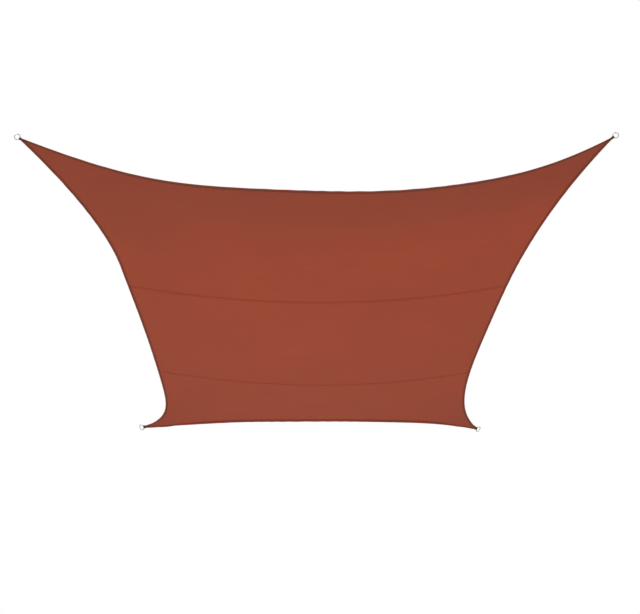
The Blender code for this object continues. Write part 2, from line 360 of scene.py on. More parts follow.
@dataclass(frozen=True)
class SailShape:
    """The middle surface of the stretched cloth, with its outline, its sag and its fine relief."""

    across: float = 3.0
    along: float = 4.0
    twist: float = 0.0243  # the back left corner's height, and the back right corner's depth
    side_drop: Bow = Bow(0.0894, peak=0.246, start=2.13, end=1.955)
    belly: Bow = Bow(0.1375, peak=0.468, start=2.00, end=2.00)
    front_drop: float = 0.1125
    back_drop: float = 0.0286
    arch: Bow = Bow(1.0, peak=0.509, start=2.00, end=2.00)
    lip: float = 0.013  # the back hem tips down, so the cloth stands this much higher along its inner line
    lip_width: float = 0.034  # from the back edge to that line
    lip_run: float = 0.50  # from the back edge to where the cloth is as if the hem didn't tip
    lip_fade: float = 0.15  # share of the width over which the hem lies flat again towards a corner
    corner_reach: float = 0.03  # share of each edge over which its direction at the corner is taken
    slant_step: float = 0.005  # to each side of a place, where a slope is taken
    normal_step: float = 0.002
    seam_ripple: Ripple = Ripple(height=0.0007, spacing=0.085, wander=0.61, reach=0.030)
    hem_ripple: Ripple = Ripple(height=0.0008, spacing=0.110, wander=0.73, reach=0.045)
    smooth_tip: Span = (0.10, 0.35)  # from a corner to where its hems begin to pucker and do

    @property
    def seams(self) -> tuple[float, float]:
        """Y of the two seams, which part the sail into three equal widths."""
        return (-self.along / 6.0, self.along / 6.0)

    def side_x(self, y: Array, side: Edge) -> Array:
        """X of the left or right edge at some Y."""
        return side.out * (self.across / 2.0 - CUTS[side].at(y / self.along + 0.5))

    def end_y(self, end: Edge, share: Array) -> Array:
        """Y of the front or back edge at some shares of its width."""
        return end.out * (self.along / 2.0 - CUTS[end].at(share))

    def slant(self, y: Array, share: Array) -> Array:
        """How much longer the sides are than their run along Y, blended across the sail.

        Args:
            y: Places along the sail.
            share: Places across it.

        Returns:
            The factor at each place, 1 or more.
        """
        step = self.slant_step
        rises = (self.side_x(y + step, side) - self.side_x(y - step, side) for side in SIDES)
        return between(*(np.hypot(1.0, rise / (2.0 * step)) for rise in rises), share)

    def x_at(self, y: Array, share: Array, inset: Array = 0.0) -> Array:
        """X at some shares of the way across, and a distance further that is square to the side."""
        left, right = (self.side_x(y, side) for side in SIDES)
        return between(left, right, share) + inset * self.slant(y, share)

    def share_across(self, x: Array, y: Array) -> Array:
        """Share of the way from the left edge to the right one, at the same Y."""
        left, right = (self.side_x(y, side) for side in SIDES)
        return (x - left) / (right - left)

    def height(self, x: Array, y: Array) -> Array:
        """Z of the smooth middle surface.

        Args:
            x: Places across the sail.
            y: Places along it.

        Returns:
            Z at each place.
        """
        along = y / self.along + 0.5
        across = self.share_across(x, y)
        side = self.side_drop.at(along)
        middle = between(self.front_drop, self.back_drop, along) + self.belly.at(along)
        twist = self.twist * along * (1.0 - 2.0 * across)
        tipped = self.lip_rise(across, self.end_y(Edge.BACK, across) - y)
        inside = self.along / 2.0 - y
        tilted = sum(tilt.drop(self.across / 2.0 - x * side.out, inside) for side, tilt in TILTS.items())
        return twist - side - (middle - side) * self.arch.at(across) + tipped - tilted

    def lip_rise(self, across: Array, inside: Array) -> Array:
        """How much the back hem's tipping lifts the cloth.

        Args:
            across: Shares of the way across the sail.
            inside: Distances inside the back edge.

        Returns:
            Metres at each place.
        """
        fade = ease(np.minimum(across, 1.0 - across), 0.0, self.lip_fade)
        rise = within(inside, 0.0, self.lip_width)
        return self.lip * fade * rise * within(inside, self.lip_run, self.lip_width) ** 2

    def relief(self, x: Array, y: Array) -> Array:
        """Height of the creases and puckers above the smooth surface.

        Args:
            x: Places across the sail.
            y: Places along it.

        Returns:
            Metres at each place.
        """
        total = np.zeros(np.broadcast(x, y).shape)
        for corner, creases in CREASES.items():
            frame = self.corner_frame(corner)
            inward = math.atan2(-frame.pull[1], -frame.pull[0])
            for crease in creases:
                heading = inward + math.radians(crease.bearing)
                total -= crease.at(*along_heading(x - frame.point[0], y - frame.point[1], heading))
        for seam in self.seams:
            total += self.seam_ripple.at(x + seam, y - seam)
        share = self.share_across(x, y)
        fade = ease(self.corner_distance(x, y), *self.smooth_tip)
        for side, end in zip(SIDES, ENDS):
            total += fade * self.hem_ripple.at(y + side.first_pucker, x - self.side_x(y, side))
            total += fade * self.hem_ripple.at(x + end.first_pucker, y - self.end_y(end, share))
        return total

    def corner_distance(self, x: Array, y: Array) -> Array:
        """Distance in plan to the nearest corner point."""
        return np.hypot(np.abs(x) - self.across / 2.0, np.abs(y) - self.along / 2.0)

    def point(self, x: Array, y: Array, creased: bool = True) -> Array:
        """Points of the cloth's middle surface, with or without its creases and puckers."""
        relief = self.relief(x, y) if creased else 0.0
        return np.stack([x, y, self.height(x, y) + relief], axis=-1)

    def normal(self, x: Array, y: Array, creased: bool = True) -> Array:
        """The cloth's upward normals.

        Args:
            x: Places across the sail.
            y: Places along it.
            creased: Whether the creases and puckers count.

        Returns:
            A unit vector at each place.
        """
        step = self.normal_step
        run_x = self.point(x + step, y, creased) - self.point(x - step, y, creased)
        run_y = self.point(x, y + step, creased) - self.point(x, y - step, creased)
        return unit(np.cross(run_x, run_y))

    def corner_frame(self, corner: Corner) -> CornerFrame:
        """Works out a corner's directions from the two edges that meet there.

        Args:
            corner: Which corner.

        Returns:
            The middle of the ring and the directions.
        """
        near = 0.5 - self.corner_reach
        y = corner.end.out * self.along / 2.0
        point = self.point(self.side_x(y, corner.side), y, creased=False)
        share = 0.5 + corner.side.out * near
        end_y = self.end_y(corner.end, share)
        side_y = corner.end.out * near * self.along
        on_end = unit(self.point(self.x_at(end_y, share), end_y, creased=False) - point)
        on_side = unit(self.point(self.side_x(side_y, corner.side), side_y, creased=False) - point)
        pull = -unit(on_end + on_side)
        point = point - pull * corner.short
        tip = point - pull * corner.fitting.tip_cut
        width = unit(np.cross(self.normal(tip[0], tip[1], creased=False), pull))
        turned = np.array(Matrix.Rotation(corner.turn, 3, Vector(pull)) @ Vector(width))
        return CornerFrame(point, pull, width, turned, unit(np.cross(pull, turned)))


# ---- Meshes


def grid_faces(rows: int, columns: int, loop_rows: bool = False, loop_columns: bool = False) -> Array:
    """The quads of a grid whose points are numbered row by row, facing up where rows run along +Y.

    Args:
        rows: Rows of points.
        columns: Points in a row.
        loop_rows: Whether the last row meets the first.
        loop_columns: Whether each row closes into a loop.

    Returns:
        Four point numbers for each quad.
    """
    counts = rows - 1 + loop_rows, columns - 1 + loop_columns
    row, column = np.meshgrid(*(np.arange(count) for count in counts), indexing="ij")
    next_row, next_column = (row + 1) % rows * columns, (column + 1) % columns
    row = row * columns
    corners = [row + column, row + next_column, next_row + next_column, next_row + column]
    return np.stack(corners, axis=-1).reshape(-1, 4)


def closed_sheet(middle: Array, above: Array, below: Array) -> tuple[Array, Array]:
    """A closed sheet round a grid of middle points.

    Args:
        middle: Grid of points, rows by columns by 3.
        above: Thickness on the upper side of each point.
        below: Thickness on the under side of each point.

    Returns:
        The points, those of the upper face first, and the quads.
    """
    down_rows, down_columns = np.gradient(middle, axis=(0, 1))
    normals = unit(np.cross(down_columns, down_rows))
    points = [middle + normals * above[..., None], middle - normals * below[..., None]]
    rows, columns = middle.shape[:2]
    top = grid_faces(rows, columns)
    number = np.arange(rows * columns).reshape(rows, columns)
    rim = np.concatenate([number[0], number[1:, -1], number[-1, -2::-1], number[-2:0:-1, 0]])
    after = np.roll(rim, -1)
    edge = np.stack([rim, rim + number.size, after + number.size, after], axis=-1)
    return np.concatenate(points).reshape(-1, 3), np.concatenate([top, (top + number.size)[:, ::-1], edge])


def new_mesh(name: str, points: Array, faces: Array) -> bpy.types.Mesh:
    """A smooth-shaded mesh.

    Args:
        name: The mesh's name.
        points: One row for each point.
        faces: Point numbers, one row for each face.

    Returns:
        The mesh.
    """
    mesh = bpy.data.meshes.new(name)
    mesh.from_pydata(points.tolist(), [], faces.tolist())
    mesh.shade_smooth()
    return mesh


def set_attribute(mesh: bpy.types.Mesh, name: str, values: Array) -> None:
    """Stores a value or a vector at each point of a mesh, for its material to read.

    Args:
        mesh: The mesh.
        name: The attribute's name.
        values: One number or one vector for each point.
    """
    kind, key = ("FLOAT_VECTOR", "vector") if values.ndim > 1 else ("FLOAT", "value")
    attribute = mesh.attributes.new(name, kind, "POINT")
    attribute.data.foreach_set(key, values.astype(np.float32).ravel())


def add_object(name: str, data: bpy.types.ID) -> bpy.types.Object:
    """Adds an object to the scene.

    Args:
        name: The object's name.
        data: Its mesh, light or camera.

    Returns:
        The object.
    """
    made = bpy.data.objects.new(name, data)
    bpy.context.scene.collection.objects.link(made)
    return made


def add_piece(mesh: bpy.types.Mesh, finish: "Finish", slot: str, *replaced: str) -> bpy.types.Object:
    """Adds a piece of the sail that rides on its body.

    Args:
        mesh: The piece's mesh, whose name it takes.
        finish: Its finish.
        slot: The record's material slot that it stands for. Not used.
        *replaced: Names of the plain solids that it takes the place of.

    Returns:
        The piece.
    """
    piece = add_object(mesh.name, mesh)
    mesh.materials.append(finish.material())
    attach(piece, BODY)
    for node in replaced:
        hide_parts(node)
    LOG.info("%s: %d faces", piece.name, len(mesh.polygons))
    return piece


# ---- Shader nodes


FULL: Span = (0.0, 1.0)  # every value of a mask
NOISE: Span = (0.3, 0.7)  # where nearly all values of a noise lie


class Graph:
    """Adds nodes to a node tree and feeds each from sockets, numbers or colours."""

    def __init__(self, tree: bpy.types.NodeTree) -> None:
        """Works on one node tree."""
        self.tree = tree

    def feed(self, socket: Socket, value: object) -> None:
        """Feeds a socket.

        Args:
            socket: An input.
            value: The socket to link it to, or the value to set.
        """
        if isinstance(value, Socket):
            self.tree.links.new(value, socket)
        else:
            socket.default_value = value

    def node(
        self, kind: str, *values: object, settings: dict[str, object] | None = None, **named: object
    ) -> bpy.types.Node:
        """Adds a node.

        Args:
            kind: Blender's type name of the node, without its first word.
            *values: What feeds its first inputs, in their order.
            settings: Its properties.
            **named: What feeds others, by their names with _ for each space.

        Returns:
            The node.
        """
        made = self.tree.nodes.new(f"ShaderNode{kind}")
        for name, value in (settings or {}).items():
            setattr(made, name, value)
        for socket, value in zip(made.inputs, values):
            self.feed(socket, value)
        for name, value in named.items():
            self.feed(made.inputs[name.replace("_", " ")], value)
        return made

    def math(self, operation: str, *values: object, clamp: bool = False) -> Socket:
        """Adds a Math node and returns its result."""
        return self.node("Math", *values, settings={"operation": operation, "use_clamp": clamp}).outputs[0]

    def wave(self, operation: str, turns: object, height: float = 0.5) -> Socket:
        """Adds a sine or cosine that peaks at 1 and swings down by twice the height."""
        swing = self.math(operation, self.math("MULTIPLY", turns, FULL_TURN))
        return self.math("MULTIPLY_ADD", swing, height, 1.0 - height)

    def stretched(self, vector: object, *factors: object) -> Socket:
        """Multiplies a vector by a factor for each axis."""
        scale = self.node("CombineXYZ", *factors).outputs[0]
        return self.node("VectorMath", vector, scale, settings={"operation": "MULTIPLY"}).outputs[0]

    def spread(self, value: object, onto: Span, source: Span = FULL) -> Socket:
        """Maps a span of values onto another, kept within it."""
        return self.node("MapRange", value, *source, *onto).outputs[0]

    def noise(self, vector: object, scale: object, detail: float) -> Socket:
        """Adds a Noise Texture and returns its value."""
        return self.node("TexNoise", Vector=vector, Scale=scale, Detail=detail).outputs[0]

    def place(self) -> Socket:
        """Coordinates on the piece, in metres."""
        return self.node("TexCoord").outputs["Object"]

    def attribute(self, name: str, output: str = "Fac") -> Socket:
        """What is stored at the mesh's points under a name."""
        return self.node("Attribute", settings={"attribute_name": name}).outputs[output]

    def mix(self, share: object, first: object, second: object, blend: str = "MIX") -> Socket:
        """Mixes two colours.

        Args:
            share: Share of the second one.
            first: A colour or a socket.
            second: A colour or a socket.
            blend: How they are mixed.

        Returns:
            The mixed colour.
        """
        made = self.node("Mix", settings={"data_type": "RGBA", "blend_type": blend})
        sockets = {socket.identifier: socket for socket in (*made.inputs, *made.outputs)}
        for name, value in (("Factor_Float", share), ("A_Color", first), ("B_Color", second)):
            self.feed(sockets[name], (*value, 1.0) if isinstance(value, tuple) else value)
        return sockets["Result_Color"]

    def toned(self, colour: object, *tones: object) -> Socket:
        """Multiplies a colour by some factors.

        Args:
            colour: A colour or a socket.
            *tones: The factors.

        Returns:
            The lighter or darker colour.
        """
        tone = tones[0]
        for further in tones[1:]:
            tone = self.math("MULTIPLY", tone, further)
        return self.node("VectorMath", colour, settings={"operation": "SCALE"}, Scale=tone).outputs[0]

    def bump(self, height: Socket, strength: float, distance: float) -> Socket:
        """Adds a Bump node and returns its normal."""
        return self.node("Bump", Strength=strength, Distance=distance, Height=height).outputs[0]

    def group(self, effect: "EffectGroup", **named: object) -> bpy.types.NodeOutputs:
        """Places an effect's node group and returns its outputs."""
        return self.node("Group", settings={"node_tree": effect.tree()}, **named).outputs


class EffectGroup:
    """An effect that several materials share: a node group that takes a vector and some numbers."""

    name: str = ""
    takes: dict[str, float] = {}
    gives: tuple[str, ...] = ()

    def tree(self) -> bpy.types.NodeTree:
        """The group's node tree, which is made at the first call.

        Returns:
            The tree.
        """
        if self.name in bpy.data.node_groups:
            return bpy.data.node_groups[self.name]
        tree = bpy.data.node_groups.new(self.name, "ShaderNodeTree")
        tree.interface.new_socket("Vector", in_out="INPUT", socket_type="NodeSocketVector")
        for name, usual in self.takes.items():
            made = tree.interface.new_socket(name, in_out="INPUT", socket_type="NodeSocketFloat")
            made.default_value = usual
        for name in self.gives:
            tree.interface.new_socket(name, in_out="OUTPUT", socket_type="NodeSocketFloat")
        graph = Graph(tree)
        entry, leave = tree.nodes.new("NodeGroupInput"), tree.nodes.new("NodeGroupOutput")
        for name, value in self.draw(graph, entry.outputs).items():
            graph.feed(leave.inputs[name], value)
        return tree

    def draw(self, graph: Graph, entry: bpy.types.NodeOutputs) -> dict[str, Socket]:
        """Adds the group's nodes to its tree and returns what feeds each of its outputs, by name."""
        raise NotImplementedError


class Yarn(EffectGroup):
    """Fine twisted fibres: bright and dark strands, and their height."""

    name = "yarn_fibres"
    takes = {"Strand Size": 0.0006, "Stretch": 6.0}
    gives = ("Tone", "Height")
    coarseness = 0.22  # size of the fine strands, as a share of that of the coarse ones
    coarse_share = 0.6  # of the tone

    def draw(self, graph: Graph, entry: bpy.types.NodeOutputs) -> dict[str, Socket]:
        """Adds noise that is drawn out along X, in two sizes.

        Args:
            graph: The group's tree.
            entry: The group's inputs.

        Returns:
            The strands' tone and height.
        """
        run = graph.stretched(entry["Vector"], graph.math("DIVIDE", 1.0, entry["Stretch"]), 1.0, 1.0)
        fine = graph.noise(run, graph.math("DIVIDE", 1.0, entry["Strand Size"]), detail=1.0)
        scale = graph.math("DIVIDE", self.coarseness, entry["Strand Size"])
        coarse = graph.noise(run, scale, detail=2.0)
        fine_part = graph.math("MULTIPLY", fine, 1.0 - self.coarse_share)
        both = graph.math("MULTIPLY_ADD", coarse, self.coarse_share, fine_part)
        return {"Tone": graph.spread(both, FULL, NOISE), "Height": fine}


class Weathering(EffectGroup):
    """What a season outdoors leaves on every piece: uneven fading, dust on upward faces, and spots."""

    name = "weathering"
    takes = {"Patch Size": 0.4, "Dust": 0.3}
    gives = ("Fading", "Dust", "Spots")
    fineness = 14.0  # specks in the width of a patch
    upward = (-0.2, 0.9)  # how far up a face looks, from where it has no dust to where it has most
    grains = (0.42, 0.72)  # of the specks' noise, from the thinnest dust to the thickest
    thinnest = 0.25
    spots = (0.64, 0.74)

    def draw(self, graph: Graph, entry: bpy.types.NodeOutputs) -> dict[str, Socket]:
        """Adds slow noise, faint specks, and dust where the surface faces up.

        Args:
            graph: The group's tree.
            entry: The group's inputs.

        Returns:
            The three masks.
        """
        scale = graph.math("DIVIDE", 1.0, entry["Patch Size"])
        slow = graph.noise(entry["Vector"], scale, detail=3.0)
        fine = graph.noise(entry["Vector"], graph.math("MULTIPLY", scale, self.fineness), detail=4.0)
        up = graph.node("SeparateXYZ", graph.node("NewGeometry").outputs["Normal"]).outputs["Z"]
        grains = graph.spread(fine, (self.thinnest, 1.0), self.grains)
        dust = graph.math("MULTIPLY", graph.spread(up, FULL, self.upward), grains)
        return {
            "Fading": graph.spread(slow, FULL, NOISE),
            "Dust": graph.math("MULTIPLY", dust, entry["Dust"]),
            "Spots": graph.spread(fine, FULL, self.spots),
        }


class Knit(EffectGroup):
    """Knitted shade cloth: chains of loops along X, and flat tapes laid to and fro between them."""

    name = "knitted_loops"
    takes = {"Chain Pitch": 0.003, "Loop Pitch": 0.004}
    gives = ("Height", "Gaps", "Chains")
    narrowness = 3.0  # of the chains, as a power
    bead_swing = 0.25  # of a chain's height, between its loops and where they meet
    tape_height = 0.6  # as a share of the chains'
    gap_height = 0.28  # below which the gaps begin

    def draw(self, graph: Graph, entry: bpy.types.NodeOutputs) -> dict[str, Socket]:
        """Adds the chains, the slanted tapes and the small gaps that are left between them.

        Args:
            graph: The group's tree.
            entry: The group's inputs.

        Returns:
            The height, and masks of the gaps and the chains.
        """
        place = graph.node("SeparateXYZ", entry["Vector"]).outputs
        rows = graph.math("DIVIDE", place["Y"], entry["Chain Pitch"])
        loops = graph.math("DIVIDE", place["X"], entry["Loop Pitch"])
        chains = graph.math("POWER", graph.wave("COSINE", rows), self.narrowness)
        slanted = graph.math("ADD", loops, graph.math("PINGPONG", rows, 0.5))
        tapes = graph.math("MULTIPLY", graph.wave("COSINE", slanted), self.tape_height)
        beads = graph.math("MULTIPLY", chains, graph.wave("SINE", loops, self.bead_swing))
        height = graph.math("MAXIMUM", beads, tapes)
        gaps = graph.spread(height, (1.0, 0.0), (0.0, self.gap_height))
        return {"Height": height, "Gaps": gaps, "Chains": chains}


@dataclass(frozen=True)
class Finish:
    """A surface finish, with the sizes of the fibres and the weathering that it shares with others."""

    label: str
    colour: Colour
    strand: float = 0.0006  # width of its fibres or scratches
    stretch: float = 6.0  # their length in widths
    patch: float = 0.4  # size of its faded patches
    dustiness: float = 0.1

    def material(self) -> bpy.types.Material:
        """The finish's material, which is made at the first call.

        Returns:
            The material.
        """
        if self.label in bpy.data.materials:
            return bpy.data.materials[self.label]
        made = bpy.data.materials.new(self.label)
        made.use_nodes = True
        graph = Graph(made.node_tree)
        for name, value in self.draw(graph).items():
            graph.feed(made.node_tree.nodes["Principled BSDF"].inputs[name], value)
        return made

    def draw(self, graph: Graph) -> dict[str, object]:
        """Adds the finish's nodes to its material and returns what feeds the shader's inputs, by name."""
        raise NotImplementedError

    def fibres(self, graph: Graph, place: Socket) -> bpy.types.NodeOutputs:
        """Places its fibres or scratches, which run along the X of some coordinates."""
        return graph.group(Yarn(), Vector=place, Strand_Size=self.strand, Stretch=self.stretch)

    def weather(self, graph: Graph) -> bpy.types.NodeOutputs:
        """Places its weathering."""
        return graph.group(Weathering(), Vector=graph.place(), Patch_Size=self.patch, Dust=self.dustiness)


@dataclass(frozen=True)
class ClothFinish(Finish):
    """Brick red knitted cloth, with painted shade where several layers stop the light, and painted light that
    is least near its front edge, its corners and its left front.
    """

    label: str = "knitted_shade_cloth"
    colour: Colour = (0.391, 0.0726, 0.0333)
    # painted shade: the colour where the cloth's painted light is lowest
    painted_shade_colour: Colour = (0.316, 0.0655, 0.0345)
    # painted shade where the hems' layers and tapes stop the light
    layer_shade: Colour = (0.160, 0.0410, 0.0260)
    lapped: Colour = (0.93, 0.80, 0.70)  # painted shade: what is left of the light where two panels lap
    dust: Colour = (0.52, 0.40, 0.32)
    strand: float = 0.0009
    stretch: float = 9.0
    patch: float = 0.55
    chain_pitch: float = 0.0026
    loop_pitch: float = 0.0034
    streak_scale: float = 38.0  # streaks in a metre
    streak_shape: tuple[float, float, float] = (0.12, 1.0, 1.0)  # drawn out along X
    patch_tone: Span = (0.975, 1.03)  # tones are darker or lighter than the colour, which has 1
    streak_tone: Span = (0.985, 1.015)
    gap_shade_tone: Span = (1.03, 0.80)  # painted shade in the knit's gaps, from the cloth to its gaps
    fibre_tone: Span = (0.97, 1.03)
    chain_roughness: Span = (0.84, 0.66)  # from between the chains to their crests
    patch_roughness: float = 0.06
    fibre_relief: float = 0.15  # as a share of the knit's

    def draw(self, graph: Graph) -> dict[str, object]:
        """Knit, fibres, patchy fading, painted light and shade, and dust, with the knit's height as bump.

        Args:
            graph: The material's tree.

        Returns:
            What feeds the shader's inputs, by name.
        """
        place = graph.place()
        knit = graph.group(Knit(), Vector=place, Chain_Pitch=self.chain_pitch, Loop_Pitch=self.loop_pitch)
        fibres, weather = self.fibres(graph, place), self.weather(graph)
        streaks = graph.noise(graph.stretched(place, *self.streak_shape), self.streak_scale, detail=3.0)
        # painted light: from the painted shade colour towards the lit colour, by the share stored on the mesh
        colour = graph.mix(graph.attribute("faded"), self.painted_shade_colour, self.colour)
        # painted shade where two panels lap
        colour = graph.mix(graph.attribute("lapped"), colour, self.lapped, "MULTIPLY")
        # painted shade of the hems' layers
        colour = graph.mix(graph.attribute("layers"), colour, self.layer_shade)
        colour = graph.toned(
            colour,
            graph.spread(weather["Fading"], self.patch_tone),
            graph.spread(streaks, self.streak_tone, NOISE),
            # painted shade in the knit's gaps
            graph.spread(knit["Gaps"], self.gap_shade_tone),
            graph.spread(fibres["Tone"], self.fibre_tone),
        )
        rough = graph.spread(knit["Chains"], self.chain_roughness)
        rough = graph.math("MULTIPLY_ADD", weather["Fading"], self.patch_roughness, rough, clamp=True)
        relief = graph.math("MULTIPLY_ADD", fibres["Height"], self.fibre_relief, knit["Height"])
        return {
            "Base Color": graph.mix(weather["Dust"], colour, self.dust),
            "Roughness": rough,
            "Specular IOR Level": 0.15,
            "Normal": graph.bump(relief, strength=0.55, distance=0.0004),
        }


@dataclass(frozen=True)
class WebbingFinish(Finish):
    """Dark brown woven webbing, whose ribs are in its mesh and whose yarns are here."""

    label: str = "dark_webbing"
    colour: Colour = (0.115, 0.033, 0.022)
    worn: Colour = (0.190, 0.085, 0.060)
    dust: Colour = (0.42, 0.34, 0.28)
    strand: float = 0.0004
    stretch: float = 5.0
    patch: float = 0.03
    dustiness: float = 0.18
    warp_pitch: float = 0.0011
    wear: Span = (0.10, 0.55)  # of the ribs, from the least faded patches to the most
    wear_starts: float = 0.2
    # painted shade between the warp yarns, from their troughs to their crowns
    warp_shade_tone: Span = (0.78, 1.08)
    fibre_tone: Span = (0.86, 1.12)
    roughness: Span = (0.78, 0.62)
    fibre_relief: float = 0.4  # as a share of the warp's

    def draw(self, graph: Graph) -> dict[str, object]:
        """Warp yarns along the strap with painted shade between them, rubbed pale on the ribs, with dust.

        Args:
            graph: The material's tree.

        Returns:
            What feeds the shader's inputs, by name.
        """
        run = graph.attribute("webbing_run", "Vector")
        across = graph.node("SeparateXYZ", run).outputs["Y"]
        warp = graph.wave("SINE", graph.math("DIVIDE", across, self.warp_pitch))
        fibres, weather = self.fibres(graph, run), self.weather(graph)
        wear = graph.spread(weather["Fading"], self.wear, (self.wear_starts, 1.0))
        colour = graph.mix(graph.math("MULTIPLY", graph.attribute("rib"), wear), self.colour, self.worn)
        # painted shade between the warp yarns, and the fibres' tone
        tones = graph.spread(warp, self.warp_shade_tone), graph.spread(fibres["Tone"], self.fibre_tone)
        relief = graph.math("MULTIPLY_ADD", fibres["Height"], self.fibre_relief, warp)
        return {
            "Base Color": graph.mix(weather["Dust"], graph.toned(colour, *tones), self.dust),
            "Roughness": graph.spread(fibres["Tone"], self.roughness),
            "Specular IOR Level": 0.3,
            "Normal": graph.bump(relief, strength=0.6, distance=0.0002),
        }


@dataclass(frozen=True)
class ThreadFinish(Finish):
    """Sewing thread, a little shinier than what it sews."""

    label: str = "sewing_thread"
    colour: Colour = (0.215, 0.050, 0.032)
    faded: Colour = (0.330, 0.110, 0.075)
    strand: float = 0.0003
    stretch: float = 2.0
    patch: float = 0.20
    fading: float = 0.5
    fibre_tone: Span = (0.82, 1.15)
    roughness: Span = (0.62, 0.48)

    def draw(self, graph: Graph) -> dict[str, object]:
        """Twisted fibres with uneven fading.

        Args:
            graph: The material's tree.

        Returns:
            What feeds the shader's inputs, by name.
        """
        tone = self.fibres(graph, graph.place())["Tone"]
        faded = graph.math("MULTIPLY", self.weather(graph)["Fading"], self.fading)
        colour = graph.mix(faded, self.colour, self.faded)
        return {
            "Base Color": graph.toned(colour, graph.spread(tone, self.fibre_tone)),
            "Roughness": graph.spread(tone, self.roughness),
            "Specular IOR Level": 0.4,
        }


@dataclass(frozen=True)
class SteelFinish(Finish):
    """Polished stainless wire, brushed round its length, with a dull tinted weld."""

    label: str = "stainless_wire"
    colour: Colour = (0.56, 0.56, 0.55)
    weld_tint: Colour = (0.42, 0.36, 0.28)
    dust: Colour = (0.45, 0.42, 0.38)
    strand: float = 0.00035
    stretch: float = 30.0
    patch: float = 0.02
    dustiness: float = 0.12
    scratch_tone: Span = (0.92, 1.05)
    roughness: Span = (0.20, 0.34)
    weld_roughness: float = 0.25  # more than the wire's
    spot_roughness: float = 0.15

    def draw(self, graph: Graph) -> dict[str, object]:
        """Fine scratches along the wire, a tinted weld and a film of dust.

        Args:
            graph: The material's tree.

        Returns:
            What feeds the shader's inputs, by name.
        """
        run, weld = graph.attribute("wire_run", "Vector"), graph.attribute("weld")
        scratches, weather = self.fibres(graph, run), self.weather(graph)
        colour = graph.mix(weld, self.colour, self.weld_tint)
        colour = graph.toned(colour, graph.spread(scratches["Tone"], self.scratch_tone))
        rough = graph.spread(scratches["Tone"], self.roughness)
        rough = graph.math("MULTIPLY_ADD", weld, self.weld_roughness, rough)
        return {
            "Base Color": graph.mix(weather["Dust"], colour, self.dust),
            "Metallic": 1.0,
            "Roughness": graph.math("MULTIPLY_ADD", weather["Spots"], self.spot_roughness, rough, clamp=True),
            "Normal": graph.bump(scratches["Height"], strength=0.25, distance=0.00005),
        }


@dataclass(frozen=True)
class FloorFinish(Finish):
    """The studio's pale matt floor."""

    label: str = "pale_floor"
    colour: Colour = (0.78, 0.78, 0.77)
    tone: Span = (0.985, 1.015)
    roughness: Span = (0.86, 0.92)
    scale: float = 0.6  # patches in a metre

    def draw(self, graph: Graph) -> dict[str, object]:
        """A pale colour with the faintest unevenness.

        Args:
            graph: The material's tree.

        Returns:
            What feeds the shader's inputs, by name.
        """
        slow = graph.noise(graph.place(), self.scale, detail=3.0)
        colour = graph.toned(self.colour, graph.spread(slow, self.tone, NOISE))
        return {"Base Color": colour, "Roughness": graph.spread(slow, self.roughness, NOISE)}


# ---- Cloth panels


@dataclass(frozen=True)
class SewnEdge:
    """A rounded edge of cloth with two rows of stitching."""

    width: float
    radius: float
    sharpness: float  # share of the radius over which the edge is rounded
    row_inset: float  # from the inner line to the inner row
    dimple: float  # depth under each row
    outer_lines: Floats  # of the mesh, counted from the edge
    inner_lines: Floats  # counted from the width
    outer_row: float = 0.0040  # from the edge
    dimple_width: float = 0.0011

    @property
    def lines(self) -> Floats:
        """Distances from the edge at which the mesh has its lines."""
        lines = self.outer_lines + tuple(self.width + line for line in self.inner_lines)
        return tuple(round(line, 5) for line in lines)

    @property
    def stitch_rows(self) -> tuple[float, float]:
        """Distances of the two rows of stitching from the edge."""
        return (self.outer_row, self.width - self.row_inset)

    def rounding(self, distance: Array) -> Array:
        """Share of the thickness that is left near the edge."""
        return np.sqrt(1.0 - np.clip(1.0 - distance / self.radius, 0.0, self.sharpness) ** 2)

    def dimples(self, distance: Array) -> Array:
        """Depth of the stitching's dimples."""
        return sum(self.dimple * bell(distance - row, self.dimple_width) for row in self.stitch_rows)


@dataclass(frozen=True)
class HemSection(SewnEdge):
    """A hem's cross-section: the cloth folded to the under side over a tape, with two rows of stitching."""

    width: float = 0.022
    radius: float = 0.0015
    sharpness: float = 0.99
    row_inset: float = 0.0042
    dimple: float = 0.00025
    tape: Span = (0.0078, 0.0165)  # from the edge to the sewn-in tape, which stops most light, painted as shade
    tape_blur: float = 0.0012  # over which it begins and ends
    doubled: float = 0.18  # how dark the painted shade of the folded cloth is without it
    step: float = 0.0012  # over which the folded layers end
    above: float = 0.0009  # thickness above the middle surface
    below: float = 0.0020
    outer_lines: Floats = (0.0, 0.0003, 0.0008, 0.0015, 0.0028, 0.0040, 0.0052)
    inner_lines: Floats = (-0.0055, -0.0042, -0.0029, 0.0, 0.0006, 0.0012, 0.0040)

    @property
    def lines(self) -> Floats:
        """The lines of any sewn edge, with those where the tape begins and ends."""
        tape = {round(line + side, 5) for line in self.tape for side in (-self.tape_blur, self.tape_blur)}
        return tuple(sorted(tape.union(super().lines)))

    def fold(self, distance: Array) -> Array:
        """Share of the folded layers: 1 in the hem and 0 in the single cloth."""
        return 1.0 - ease(distance, self.width, self.width + self.step)

    def shade(self, distance: Array) -> Array:
        """How much painted shade the layers put on the cloth, from 0 to 1."""
        start, end = (ease(distance, line - self.tape_blur, line + self.tape_blur) for line in self.tape)
        return np.maximum(start - end, self.doubled * self.fold(distance))


